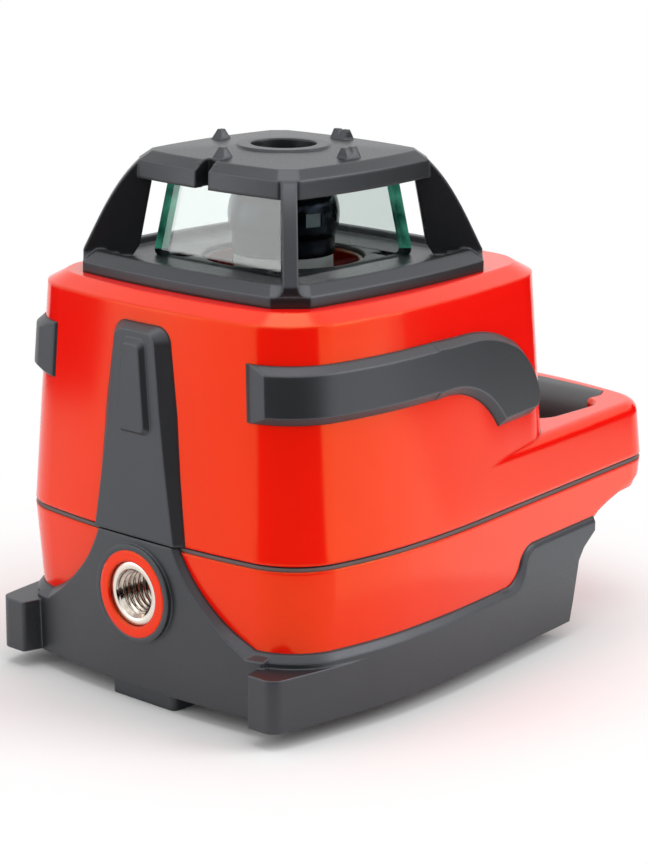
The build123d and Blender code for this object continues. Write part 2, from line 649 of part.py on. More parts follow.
# Head guard: flange, four diagonal posts and a roof with sights
with BuildPart() as head_guard:
    loft(
        [
            guard_plan(TOP_Z, GUARD_CORNER, GUARD_MIDDLE, GUARD_CUT),
            guard_plan(142.8, GUARD_CORNER, GUARD_MIDDLE, GUARD_CUT),
            guard_plan(146.2, 45.0, 51.6, 4.2),
        ],
        ruled=True,
    )
    deck_recess = [guard_plan(147, 43.4, 49.6, 4.0), guard_plan(DECK_Z, 41.6, 47.4, 4.0)]
    loft(deck_recess, ruled=True, mode=Mode.SUBTRACT)
    for angle in (45, 135, 225, 315):
        post_plane = Plane(
            origin=(0, 0, 0),
            x_dir=(cos(radians(angle)), sin(radians(angle)), 0),
            z_dir=(sin(radians(angle)), -cos(radians(angle)), 0),
        )
        with BuildSketch(post_plane):
            with BuildLine():
                Spline((POST_FOOT, 146.0), (61.7, 158.9), (54.9, 170), (48.6, 177))
                Polyline((48.6, 177), (43.5, 177), (44.4, 171), (48.8, 148), (52, 143), (POST_FOOT, 143))
                Line((POST_FOOT, 143), (POST_FOOT, 146.0))
            make_face()
        extrude(amount=POST_HALF, both=True)
        face_plane = Plane(origin=(0, 0, 0), x_dir=post_plane.z_dir, z_dir=-post_plane.x_dir)
        for side in (-1, 1):
            with BuildSketch(face_plane.offset(-56)):
                with BuildLine():
                    Line((side * 2.4, 142.9), (side * (POST_HALF + 2.6), 142.9))
                    RadiusArc((side * (POST_HALF + 2.6), 142.9), (side * POST_HALF, 146.4), side * 3.2)
                    Line((side * POST_HALF, 146.4), (side * 2.4, 142.9))
                make_face()
            extrude(amount=56 - POST_FOOT)
    loft(
        [
            guard_plan(RIM_BOTTOM_Z, RIM_CORNER + 0.3, RIM_MIDDLE + 0.3, RIM_CUT),
            guard_plan(RIM_Z, RIM_CORNER, RIM_MIDDLE, RIM_CUT),
            guard_plan(ROOF_EDGE_Z, ROOF_CORNER, ROOF_MIDDLE, ROOF_CUT),
            guard_plan(ROOF_Z, 12.0, 14.4, 1.0),
        ],
        ruled=True,
    )
    loft(
        [
            guard_plan(RIM_BOTTOM_Z - 2, 31.6, 36.2, 2.2),
            guard_plan(RIM_Z - 1, 31.4, 36.0, 2.2),
            guard_plan(ROOF_EDGE_Z - 1.6, 28.4, 32.6, 2.0),
        ],
        ruled=True,
        mode=Mode.SUBTRACT,
    )
    with BuildSketch(Plane.XY.offset(ROOF_EDGE_Z - 1.6)):
        Circle(16)
    extrude(amount=182.1 - ROOF_EDGE_Z + 1.6)
    with BuildSketch(Plane.XY.offset(ROOF_EDGE_Z - 5)):
        Circle(11.4)
    extrude(amount=10, mode=Mode.SUBTRACT)
    for angle, half_width in ((180, 1.0), (90, 1.0), (0, 3.0), (270, 3.0)):
        with BuildSketch(Plane.XY.offset(180.3)) as sight_foot:
            with Locations((29.5 * cos(radians(angle)), 29.5 * sin(radians(angle)))):
                Rectangle(5.0, 5.0 if half_width == 1.0 else 7.0, rotation=angle)
        with BuildSketch(Plane.XY.offset(183.9)) as sight_tip:
            with Locations((29.5 * cos(radians(angle)), 29.5 * sin(radians(angle)))):
                Rectangle(1.6, 2 * half_width, rotation=angle)
        loft(ruled=True)
    for angle in (0, 270):
        notch_plane = Plane(
            origin=(0, 0, 0),
            x_dir=(-sin(radians(angle)), cos(radians(angle)), 0),
            z_dir=(cos(radians(angle)), sin(radians(angle)), 0),
        )
        with BuildSketch(notch_plane.offset(22)):
            with BuildLine():
                Polyline((-1.7, 186), (0, 181.9), (1.7, 186), close=True)
            make_face()
        extrude(amount=14, mode=Mode.SUBTRACT)
    with BuildSketch(Plane.XY.offset(RIM_BOTTOM_Z + 0.2)):
        with Locations((-33.6, 0)):
            Rectangle(7.4, 9)
    extrude(amount=ROOF_EDGE_Z - 1 - RIM_BOTTOM_Z)
    with BuildSketch(Plane.XY.offset(RIM_BOTTOM_Z - 1)):
        with Locations((-40.5, 0)):
            Rectangle(15, 6)
    extrude(amount=14, mode=Mode.SUBTRACT)
    with BuildSketch(Plane.XY.offset(TOP_Z - 1)):
        Circle(DECK_HOLE_RADIUS)
    extrude(amount=8, mode=Mode.SUBTRACT)
    with BuildSketch(Plane.XY.offset(141.2)):
        with Locations(*GUARD_SCREWS):
            Rectangle(7.2, 7.2)
    extrude(amount=5, mode=Mode.SUBTRACT)
    with BuildSketch(Plane.XY.offset(TOP_Z - 1)):
        with Locations(*GUARD_SCREWS):
            Circle(1.7)
    extrude(amount=5, mode=Mode.SUBTRACT)
head_guard.part.label = "head_guard"
export_step(head_guard.part, "parts/head_guard.step")

# Screws that hold the guard down
with BuildPart() as guard_screws:
    with BuildSketch(Plane.XY.offset(141.25)):
        with Locations(*GUARD_SCREWS):
            Circle(2.9)
    extrude(amount=1.8)
    with BuildSketch(Plane.XY.offset(141.25)):
        with Locations(*GUARD_SCREWS):
            Circle(1.5)
    extrude(amount=-8)
guard_screws.part.label = "guard_screws"
export_step(guard_screws.part, "parts/guard_screws.step")

# Four leaning panes round the head
with BuildPart() as pane_back:
    loft([pane_plan(GLASS_FOOT_Z, GLASS_FOOT), pane_plan(GLASS_HEAD_Z, GLASS_HEAD)], ruled=True)
pane_back.part.label = "pane_back"
export_step(pane_back.part, "parts/pane_back.step")

with BuildPart() as pane_left:
    add(pane_back.part, rotation=(0, 0, 90))
pane_left.part.label = "pane_left"
export_step(pane_left.part, "parts/pane_left.step")

with BuildPart() as pane_front:
    add(pane_back.part, rotation=(0, 0, 180))
pane_front.part.label = "pane_front"
export_step(pane_front.part, "parts/pane_front.step")

with BuildPart() as pane_right:
    add(pane_back.part, rotation=(0, 0, 270))
pane_right.part.label = "pane_right"
export_step(pane_right.part, "parts/pane_right.step")

# Spinning head: ball on a neck, with the prism chamber and beam window
BEAM_PLANE = Plane(
    origin=(0, 0, BALL_Z),
    x_dir=(-sin(radians(BEAM_ANGLE)), cos(radians(BEAM_ANGLE)), 0),
    z_dir=(cos(radians(BEAM_ANGLE)), sin(radians(BEAM_ANGLE)), 0),
)

with BuildPart() as rotor_head:
    with BuildSketch(Plane.XZ):
        with BuildLine():
            low_z = BALL_Z - (BALL_RADIUS**2 - NECK_RADIUS**2) ** 0.5
            Polyline((0, BALL_Z + BALL_RADIUS), (0, NECK_Z), (NECK_RADIUS, NECK_Z), (NECK_RADIUS, low_z))
            ThreePointArc((NECK_RADIUS, low_z), (BALL_RADIUS, BALL_Z), (0, BALL_Z + BALL_RADIUS))
        make_face()
    revolve(axis=Axis.Z)
    with BuildSketch(Plane.XY.offset(NECK_Z - 1)):
        Circle(SHAFT_RADIUS + 0.02)
    extrude(amount=7, mode=Mode.SUBTRACT)
    with BuildSketch(Plane.XY.offset(150)):
        Circle(9.6)
    extrude(amount=17, mode=Mode.SUBTRACT)
    with BuildSketch(BEAM_PLANE):
        Rectangle(6.2, 4.7)
    extrude(amount=20, mode=Mode.SUBTRACT)
rotor_head.part.label = "rotor_head"
export_step(rotor_head.part, "parts/rotor_head.step")

with BuildPart() as beam_window:
    with BuildSketch(BEAM_PLANE.offset(BALL_RADIUS - 2.2)):
        Rectangle(6.1, 4.6)
    extrude(amount=1.2)
beam_window.part.label = "beam_window"
export_step(beam_window.part, "parts/beam_window.step")

with BuildPart() as pentaprism:
    with BuildSketch(BEAM_PLANE.offset(-5.5)):
        with Locations((0, -1.6)):
            Rectangle(11, 12)
    extrude(amount=11)
pentaprism.part.label = "pentaprism"
export_step(pentaprism.part, "parts/pentaprism.step")

with BuildPart() as rotor_collar:
    with BuildSketch(Plane.XY.offset(COLLAR_Z)):
        Circle(COLLAR_RADIUS)
        Circle(SHAFT_RADIUS + 0.02, mode=Mode.SUBTRACT)
    extrude(amount=NECK_Z - COLLAR_Z)
    with BuildSketch(Plane.YZ):
        with Locations((0, 138)):
            Circle(1.2)
    extrude(amount=-30, mode=Mode.SUBTRACT)
rotor_collar.part.label = "rotor_collar"
export_step(rotor_collar.part, "parts/rotor_collar.step")

with BuildPart() as rotor_shaft:
    with BuildSketch(Plane.XY.offset(94)):
        Circle(SHAFT_RADIUS)
        Circle(6, mode=Mode.SUBTRACT)
    extrude(amount=56)
rotor_shaft.part.label = "rotor_shaft"
export_step(rotor_shaft.part, "parts/rotor_shaft.step")

with BuildPart() as rotor_pulley:
    with BuildSketch(Plane.XY.offset(95.2)):
        Circle(PULLEY_RADIUS + 1.9)
    extrude(amount=1.2)
    with BuildSketch(Plane.XY.offset(96.4)):
        Circle(PULLEY_RADIUS)
    extrude(amount=4)
    with BuildSketch(Plane.XY.offset(100.4)):
        Circle(PULLEY_RADIUS + 1.9)
    extrude(amount=1)
    with BuildSketch(Plane.XY.offset(95)):
        Circle(SHAFT_RADIUS + 0.02)
    extrude(amount=8, mode=Mode.SUBTRACT)
rotor_pulley.part.label = "rotor_pulley"
export_step(rotor_pulley.part, "parts/rotor_pulley.step")

with BuildPart() as encoder_disc:
    with BuildSketch(Plane.XY.offset(112.9)):
        Circle(15.2)
        Circle(SHAFT_RADIUS + 0.02, mode=Mode.SUBTRACT)
    extrude(amount=0.8)
encoder_disc.part.label = "encoder_disc"
export_step(encoder_disc.part, "parts/encoder_disc.step")

# Bearing casting with the belt skirt and motor plate
with BuildPart() as bearing_housing:
    with BuildSketch(Plane.XY.offset(86)):
        Circle(23)
        with Locations((34, 0)):
            RectangleRounded(40, 26, 8)
    extrude(amount=4)
    with BuildSketch(Plane.XY.offset(90)):
        Circle(23)
    extrude(amount=34)
    with BuildSketch(Plane.XY.offset(90)):
        Circle(20)
    extrude(amount=12, mode=Mode.SUBTRACT)
    with BuildSketch(Plane.XY.offset(103.2)):
        Circle(16.02)
    extrude(amount=30, mode=Mode.SUBTRACT)
    with BuildSketch(Plane.XY.offset(100)):
        Circle(12)
    extrude(amount=10, mode=Mode.SUBTRACT)
    with BuildSketch(Plane.XY.offset(80)):
        Circle(15.02)
        with Locations((MOTOR_X, 0)):
            Circle(3.2)
    extrude(amount=12, mode=Mode.SUBTRACT)
    with BuildSketch(Plane.XY.offset(94)):
        with Locations((22, 0)):
            Rectangle(24, 35)
    extrude(amount=8, mode=Mode.SUBTRACT)
    with BuildSketch(Plane.XZ):
        with Locations((0, PIVOT_Z)):
            Circle(2.02)
    extrude(amount=30, both=True, mode=Mode.SUBTRACT)
bearing_housing.part.label = "bearing_housing"
export_step(bearing_housing.part, "parts/bearing_housing.step")

with BuildPart() as bearing_lower:
    with BuildSketch(Plane.XY.offset(103.2)):
        Circle(16)
        Circle(SHAFT_RADIUS + RUN, mode=Mode.SUBTRACT)
    extrude(amount=7)
bearing_lower.part.label = "bearing_lower"
export_step(bearing_lower.part, "parts/bearing_lower.step")

with BuildPart() as bearing_upper:
    with BuildSketch(Plane.XY.offset(116.6)):
        Circle(16)
        Circle(SHAFT_RADIUS + RUN, mode=Mode.SUBTRACT)
    extrude(amount=7)
bearing_upper.part.label = "bearing_upper"
export_step(bearing_upper.part, "parts/bearing_upper.step")

with BuildPart() as laser_tube:
    with BuildSketch(Plane.XY.offset(48)):
        Circle(15)
        Circle(12, mode=Mode.SUBTRACT)
    extrude(amount=42)
laser_tube.part.label = "laser_tube"
export_step(laser_tube.part, "parts/laser_tube.step")

with BuildPart() as collimator_lens:
    with BuildSketch(Plane.XY.offset(72)):
        Circle(11.95)
    extrude(amount=4)
collimator_lens.part.label = "collimator_lens"
export_step(collimator_lens.part, "parts/collimator_lens.step")

with BuildPart() as laser_diode:
    with BuildSketch(Plane.XY.offset(48.5)):
        Circle(11.95)
    extrude(amount=4)
    with BuildSketch(Plane.XY.offset(52.5)):
        Circle(4.5)
    extrude(amount=3.5)
laser_diode.part.label = "laser_diode"
export_step(laser_diode.part, "parts/laser_diode.step")

with BuildPart() as level_vials:
    with BuildSketch(Plane.YZ.offset(-11)):
        with Locations((-26, 92)):
            Circle(2.95)
    extrude(amount=22)
    with BuildSketch(Plane.XZ.offset(-11)):
        with Locations((-26, 92)):
            Circle(2.95)
    extrude(amount=22)
level_vials.part.label = "level_vials"
export_step(level_vials.part, "parts/level_vials.step")

with BuildPart() as spin_motor:
    with BuildSketch(Plane.XY.offset(56)):
        with Locations((MOTOR_X, 0)):
            Circle(10)
    extrude(amount=30)
    with BuildSketch(Plane.XY.offset(70)):
        with Locations((MOTOR_X, 0)):
            Circle(1.5 + RUN)
    extrude(amount=20, mode=Mode.SUBTRACT)
spin_motor.part.label = "spin_motor"
export_step(spin_motor.part, "parts/spin_motor.step")

with BuildPart() as motor_pulley:
    with BuildSketch(Plane.XY.offset(95.2)):
        with Locations((MOTOR_X, 0)):
            Circle(MOTOR_PULLEY_RADIUS + 1.9)
    extrude(amount=1.2)
    with BuildSketch(Plane.XY.offset(96.4)):
        with Locations((MOTOR_X, 0)):
            Circle(MOTOR_PULLEY_RADIUS)
    extrude(amount=4)
    with BuildSketch(Plane.XY.offset(100.4)):
        with Locations((MOTOR_X, 0)):
            Circle(MOTOR_PULLEY_RADIUS + 1.9)
    extrude(amount=1)
    with BuildSketch(Plane.XY.offset(95.2)):
        with Locations((MOTOR_X, 0)):
            Circle(1.5)
    extrude(amount=-24)
motor_pulley.part.label = "motor_pulley"
export_step(motor_pulley.part, "parts/motor_pulley.step")

with BuildPart() as drive_belt:
    with BuildSketch(Plane.XY.offset(97)):
        Circle(PULLEY_RADIUS + RUN + BELT_THICK)
        with Locations((MOTOR_X, 0)):
            Circle(MOTOR_PULLEY_RADIUS + RUN + BELT_THICK)
        make_hull()
    extrude(amount=3)
    with BuildSketch(Plane.XY.offset(96)):
        Circle(PULLEY_RADIUS + RUN)
        with Locations((MOTOR_X, 0)):
            Circle(MOTOR_PULLEY_RADIUS + RUN)
        make_hull()
    extrude(amount=5, mode=Mode.SUBTRACT)
drive_belt.part.label = "drive_belt"
export_step(drive_belt.part, "parts/drive_belt.step")

# Two-axis tilt: pins, ring and the chassis that stands in the lower housing
with BuildPart() as gimbal_ring:
    with BuildSketch(Plane.XY.offset(PIVOT_Z - 5)):
        Circle(34)
        Circle(28, mode=Mode.SUBTRACT)
    extrude(amount=10)
    with BuildSketch(Plane.XZ):
        with Locations((0, PIVOT_Z)):
            Circle(2 + RUN)
    extrude(amount=50, both=True, mode=Mode.SUBTRACT)
    with BuildSketch(Plane.YZ):
        with Locations((0, PIVOT_Z)):
            Circle(2.02)
    extrude(amount=50, both=True, mode=Mode.SUBTRACT)
gimbal_ring.part.label = "gimbal_ring"
export_step(gimbal_ring.part, "parts/gimbal_ring.step")

with BuildPart() as tilt_pins_x:
    with BuildSketch(Plane.YZ.offset(29)):
        with Locations((0, PIVOT_Z)):
            Circle(2)
    extrude(amount=16)
    mirror(about=Plane.YZ)
tilt_pins_x.part.label = "tilt_pins_x"
export_step(tilt_pins_x.part, "parts/tilt_pins_x.step")

with BuildPart() as tilt_pins_y:
    with BuildSketch(Plane.XZ.offset(17)):
        with Locations((0, PIVOT_Z)):
            Circle(2)
    extrude(amount=16.4)
    mirror(about=Plane.XZ)
tilt_pins_y.part.label = "tilt_pins_y"
export_step(tilt_pins_y.part, "parts/tilt_pins_y.step")

with BuildPart() as chassis:
    with BuildSketch(Plane.XY.offset(PIVOT_Z - 5)):
        Circle(46)
        with Locations(*LEGS):
            Circle(7)
        with Locations(*ARMS):
            Circle(6)
        Circle(38, mode=Mode.SUBTRACT)
    extrude(amount=10)
    with BuildSketch(Plane.XY.offset(TRAY_FLOOR_Z)):
        with Locations(*LEGS):
            Circle(4.5)
    extrude(amount=PIVOT_Z - 5 - TRAY_FLOOR_Z)
    with BuildSketch(Plane.YZ):
        with Locations((0, PIVOT_Z)):
            Circle(2 + RUN)
    extrude(amount=60, both=True, mode=Mode.SUBTRACT)
chassis.part.label = "chassis"
export_step(chassis.part, "parts/chassis.step")

# Tripod thread inserts
with BuildPart() as base_insert:
    with BuildSketch(Plane.XY):
        Circle(INSERT_RADIUS - 0.02)
        Circle(THREAD_RADIUS, mode=Mode.SUBTRACT)
    extrude(amount=INSERT_LENGTH)
base_insert.part.label = "base_insert"
export_step(base_insert.part, "parts/base_insert.step")

with BuildPart() as side_insert:
    with BuildSketch(Plane.YZ.offset(SIDE_THREAD_X)):
        with Locations((0, SIDE_THREAD_Z)):
            Circle(INSERT_RADIUS - 0.02)
            Circle(THREAD_RADIUS, mode=Mode.SUBTRACT)
    extrude(amount=INSERT_LENGTH)
side_insert.part.label = "side_insert"
export_step(side_insert.part, "parts/side_insert.step")

# Screws that join the housings
with BuildPart() as housing_screws:
    with BuildSketch(Plane.XY.offset(11)):
        with Locations(*BOSSES):
            Circle(3)
    extrude(amount=3)
    with BuildSketch(Plane.XY.offset(14)):
        with Locations(*BOSSES):
            Circle(1.65)
    extrude(amount=54)
housing_screws.part.label = "housing_screws"
export_step(housing_screws.part, "parts/housing_screws.step")

# Battery box with its pack and contact blades
with BuildPart() as battery_box:
    with BuildSketch(Plane.XY.offset(TRAY_FLOOR_Z)):
        with Locations((49.1, 0)):
            Rectangle(51.5, 69)
    extrude(amount=38)
    with BuildSketch(Plane.XY.offset(TRAY_FLOOR_Z + 2)):
        with Locations((55.35, 0)):
            Rectangle(60, 65)
    extrude(amount=34, mode=Mode.SUBTRACT)
battery_box.part.label = "battery_box"
export_step(battery_box.part, "parts/battery_box.step")

with BuildPart() as battery_pack:
    with BuildSketch(Plane.YZ.offset(27)):
        with Locations((0, TRAY_FLOOR_Z + 19)):
            RectangleRounded(64, 33, 5)
    extrude(amount=46)
battery_pack.part.label = "battery_pack"
export_step(battery_pack.part, "parts/battery_pack.step")

with BuildPart() as battery_contacts:
    with BuildSketch(Plane.YZ.offset(25.35)):
        with Locations((-12, 31), (0, 31), (12, 31)):
            Rectangle(5, 14)
    extrude(amount=1.6)
battery_contacts.part.label = "battery_contacts"
export_step(battery_contacts.part, "parts/battery_contacts.step")

# Circuit boards
with BuildPart() as main_board:
    with BuildSketch(Plane.YZ.offset(58)):
        with Locations((0, 90)):
            Rectangle(72, 58)
    extrude(amount=1.6)
main_board.part.label = "main_board"
export_step(main_board.part, "parts/main_board.step")

with BuildPart() as keypad_board:
    with BuildSketch(KEY_PLANE.offset(-9.2)):
        Rectangle(46, 40)
    extrude(amount=1.6)
keypad_board.part.label = "keypad_board"
export_step(keypad_board.part, "parts/keypad_board.step")

# Keypad panel and its sprung keys
with BuildPart() as keypad_panel:
    with BuildSketch(KEY_PLANE.offset(-1.38)):
        RectangleRounded(49.9, 45.9, 5.9)
        with Locations(*KEY_SPOTS):
            Circle(KEY_RADIUS + KEY_GAP, mode=Mode.SUBTRACT)
    extrude(amount=2)
keypad_panel.part.label = "keypad_panel"
export_step(keypad_panel.part, "parts/keypad_panel.step")

for key_name, key_spot in zip(KEY_NAMES, KEY_SPOTS):
    with BuildPart() as key:
        with BuildSketch(KEY_PLANE.offset(-0.6)):
            with Locations(key_spot):
                Circle(KEY_RADIUS)
        extrude(amount=2.6)
        with BuildSketch(KEY_PLANE.offset(-0.6)):
            with Locations(key_spot):
                Circle(2)
        extrude(amount=-5)
    key.part.label = key_name
    export_step(key.part, "parts/" + key_name + ".step")

# Battery door on its pin, with a turning latch
with BuildPart() as battery_door:
    with BuildSketch(DOOR_PLANE.offset(-1.5)):
        with Locations((0, 8)):
            Rectangle(68, 16)
    extrude(amount=3)
    with BuildSketch(Plane.XZ.offset(-34)):
        with Locations((DOOR_X, DOOR_Z)):
            Circle(1.6)
    extrude(amount=68)
    with BuildSketch(Plane.XZ.offset(-40)):
        with Locations((DOOR_X, DOOR_Z)):
            Circle(0.8 + RUN)
    extrude(amount=80, mode=Mode.SUBTRACT)
    with BuildSketch(DOOR_PLANE.offset(-5)):
        with Locations((0, 9.5)):
            Circle(5.6)
    extrude(amount=10, mode=Mode.SUBTRACT)
battery_door.part.label = "battery_door"
export_step(battery_door.part, "parts/battery_door.step")

with BuildPart() as door_pin:
    with BuildSketch(Plane.XZ.offset(-38)):
        with Locations((DOOR_X, DOOR_Z)):
            Circle(0.8)
    extrude(amount=76)
door_pin.part.label = "door_pin"
export_step(door_pin.part, "parts/door_pin.step")

with BuildPart() as door_latch:
    with BuildSketch(DOOR_PLANE.offset(-1.2)):
        with Locations((0, 9.5)):
            Circle(5.2)
    extrude(amount=3.1)
    with BuildSketch(DOOR_PLANE.offset(1.5)):
        with Locations((0, 9.5)):
            RectangleRounded(9, 2.6, 1)
    extrude(amount=1.8)
door_latch.part.label = "door_latch"
export_step(door_latch.part, "parts/door_latch.step")
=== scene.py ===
"""Looks of a rotary laser level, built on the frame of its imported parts.

Metres, in the frame of the parts: the origin is on the rotor axis at the floor, +Z is up and +X points
to the carrying grip. Mouldings and outer rubber keep their solids and get a finish. The grip's lining, the
glass, the threads, the screws and the keys are new meshes that stand for their solids.
"""

import json
import logging
import math
from dataclasses import dataclass, field
from enum import Enum

import bmesh
import bpy
from mathutils import Matrix, Vector


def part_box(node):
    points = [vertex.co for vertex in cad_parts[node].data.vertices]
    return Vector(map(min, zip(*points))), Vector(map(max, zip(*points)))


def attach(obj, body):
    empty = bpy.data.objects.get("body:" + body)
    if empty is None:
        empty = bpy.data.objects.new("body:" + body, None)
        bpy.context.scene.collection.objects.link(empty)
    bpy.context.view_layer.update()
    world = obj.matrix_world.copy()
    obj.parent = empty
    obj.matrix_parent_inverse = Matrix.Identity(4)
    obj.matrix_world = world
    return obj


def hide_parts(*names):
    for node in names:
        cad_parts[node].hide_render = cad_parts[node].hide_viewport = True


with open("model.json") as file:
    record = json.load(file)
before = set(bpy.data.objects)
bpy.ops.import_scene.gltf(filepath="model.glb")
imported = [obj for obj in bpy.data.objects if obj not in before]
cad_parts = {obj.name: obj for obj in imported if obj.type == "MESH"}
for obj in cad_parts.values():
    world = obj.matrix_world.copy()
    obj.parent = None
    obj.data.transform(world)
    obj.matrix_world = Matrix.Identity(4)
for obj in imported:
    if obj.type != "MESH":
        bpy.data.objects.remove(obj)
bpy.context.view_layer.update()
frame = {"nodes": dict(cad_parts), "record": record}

LOG = logging.getLogger("laser_level")
MM = 0.001
# Points nearer than this are one point: in a new mesh, and in a copy of a solid's loose triangles
MERGE = 0.001 * MM
MERGE_SOLID = 0.002 * MM
# Sockets of a colour Mix node, by number
MIX_SHARE, MIX_UNDER, MIX_OVER, MIX_RESULT = 0, 6, 7, 2
# Rays that a Bevel node and an Ambient Occlusion node send out
BEVEL_RAYS = 6
CONTACT_RAYS = 8
# Painted shade: in the gap over the seal, in the well round the ball, and where another part meets the red
# shell
GAP_SHADE = "#0A0808"
WELL_SHADE = "#A00906"
CONTACT_SHADE = "#4A0402"
# How far the edge of the painted shade in the gap and in the well is blurred
GAP_BLUR = 0.1 * MM
WELL_BLUR = 0.3 * MM
# Radius of the edges that are painted paler: partly worn, partly painted highlight
RUBBED_AND_HIGHLIT_RADIUS = 0.5 * MM
# Colours of the studio, and the attribute that says how far along a fading card a point is
WHITE = "#FFFFFF"
PAPER = "#FAFAFA"
VELVET = "#050505"
FADE_SHARE = "share"
BODY_OF: dict[str, str] = {
    node: body for body, nodes in frame["record"]["behaviour"]["bodies"].items() for node in nodes
}


def linear(hex_colour: str) -> tuple[float, float, float, float]:
    """Turns an sRGB colour into the linear values that shaders take.

    Args:
        hex_colour: Colour as six hex digits after a hash sign.

    Returns:
        Linear red, green and blue, with an alpha of 1.
    """
    channels = [int(hex_colour[i : i + 2], 16) / 255 for i in (1, 3, 5)]
    values = [c / 12.92 if c <= 0.04045 else ((c + 0.055) / 1.055) ** 2.4 for c in channels]
    return (values[0], values[1], values[2], 1.0)


def add_node(
    tree: bpy.types.NodeTree,
    kind: str,
    settings: dict[str | int, object] | None = None,
    links: dict[str | int, bpy.types.NodeSocket] | None = None,
) -> bpy.types.Node:
    """Adds a node to a tree, with its settings and its links.

    Args:
        tree: Tree that gets the node.
        kind: Blender's type name of the node.
        settings: Attributes by name, or input values by the input's name or number.
        links: Sockets that feed the node, by the input's name or number.

    Returns:
        The new node.
    """
    node = tree.nodes.new(kind)
    for key, value in (settings or {}).items():
        if isinstance(key, str) and hasattr(node, key):
            setattr(node, key, value)
        else:
            node.inputs[key].default_value = value
    for key, socket in (links or {}).items():
        tree.links.new(socket, node.inputs[key])
    return node


class Surface(Enum):
    """How a surface was made, which sets the pattern that its light breaks on."""

    MOULDED = "moulded"
    TURNED_Z = "turned about the rotor axis"
    TURNED_X = "turned about the side thread's axis"


class EdgeWearAndHighlight(Enum):
    """Whether the edges of a surface are painted paler, partly worn and partly as painted highlight."""

    NONE = "no rubbed edges"
    ROUNDED = "rubbed where a solid's sharp edges are rounded"


@dataclass(frozen=True)
class Layer:
    """A colour laid over the colours before it.

    Attributes:
        value: Socket that says where the colour lies.
        bare: Value where none of it shows.
        full: Value where the most of it shows.
        colour: The colour, sRGB hex.
        most: Share of the colour where the most of it shows.
    """

    value: bpy.types.NodeSocket
    bare: float
    full: float
    colour: str
    most: float = 1.0


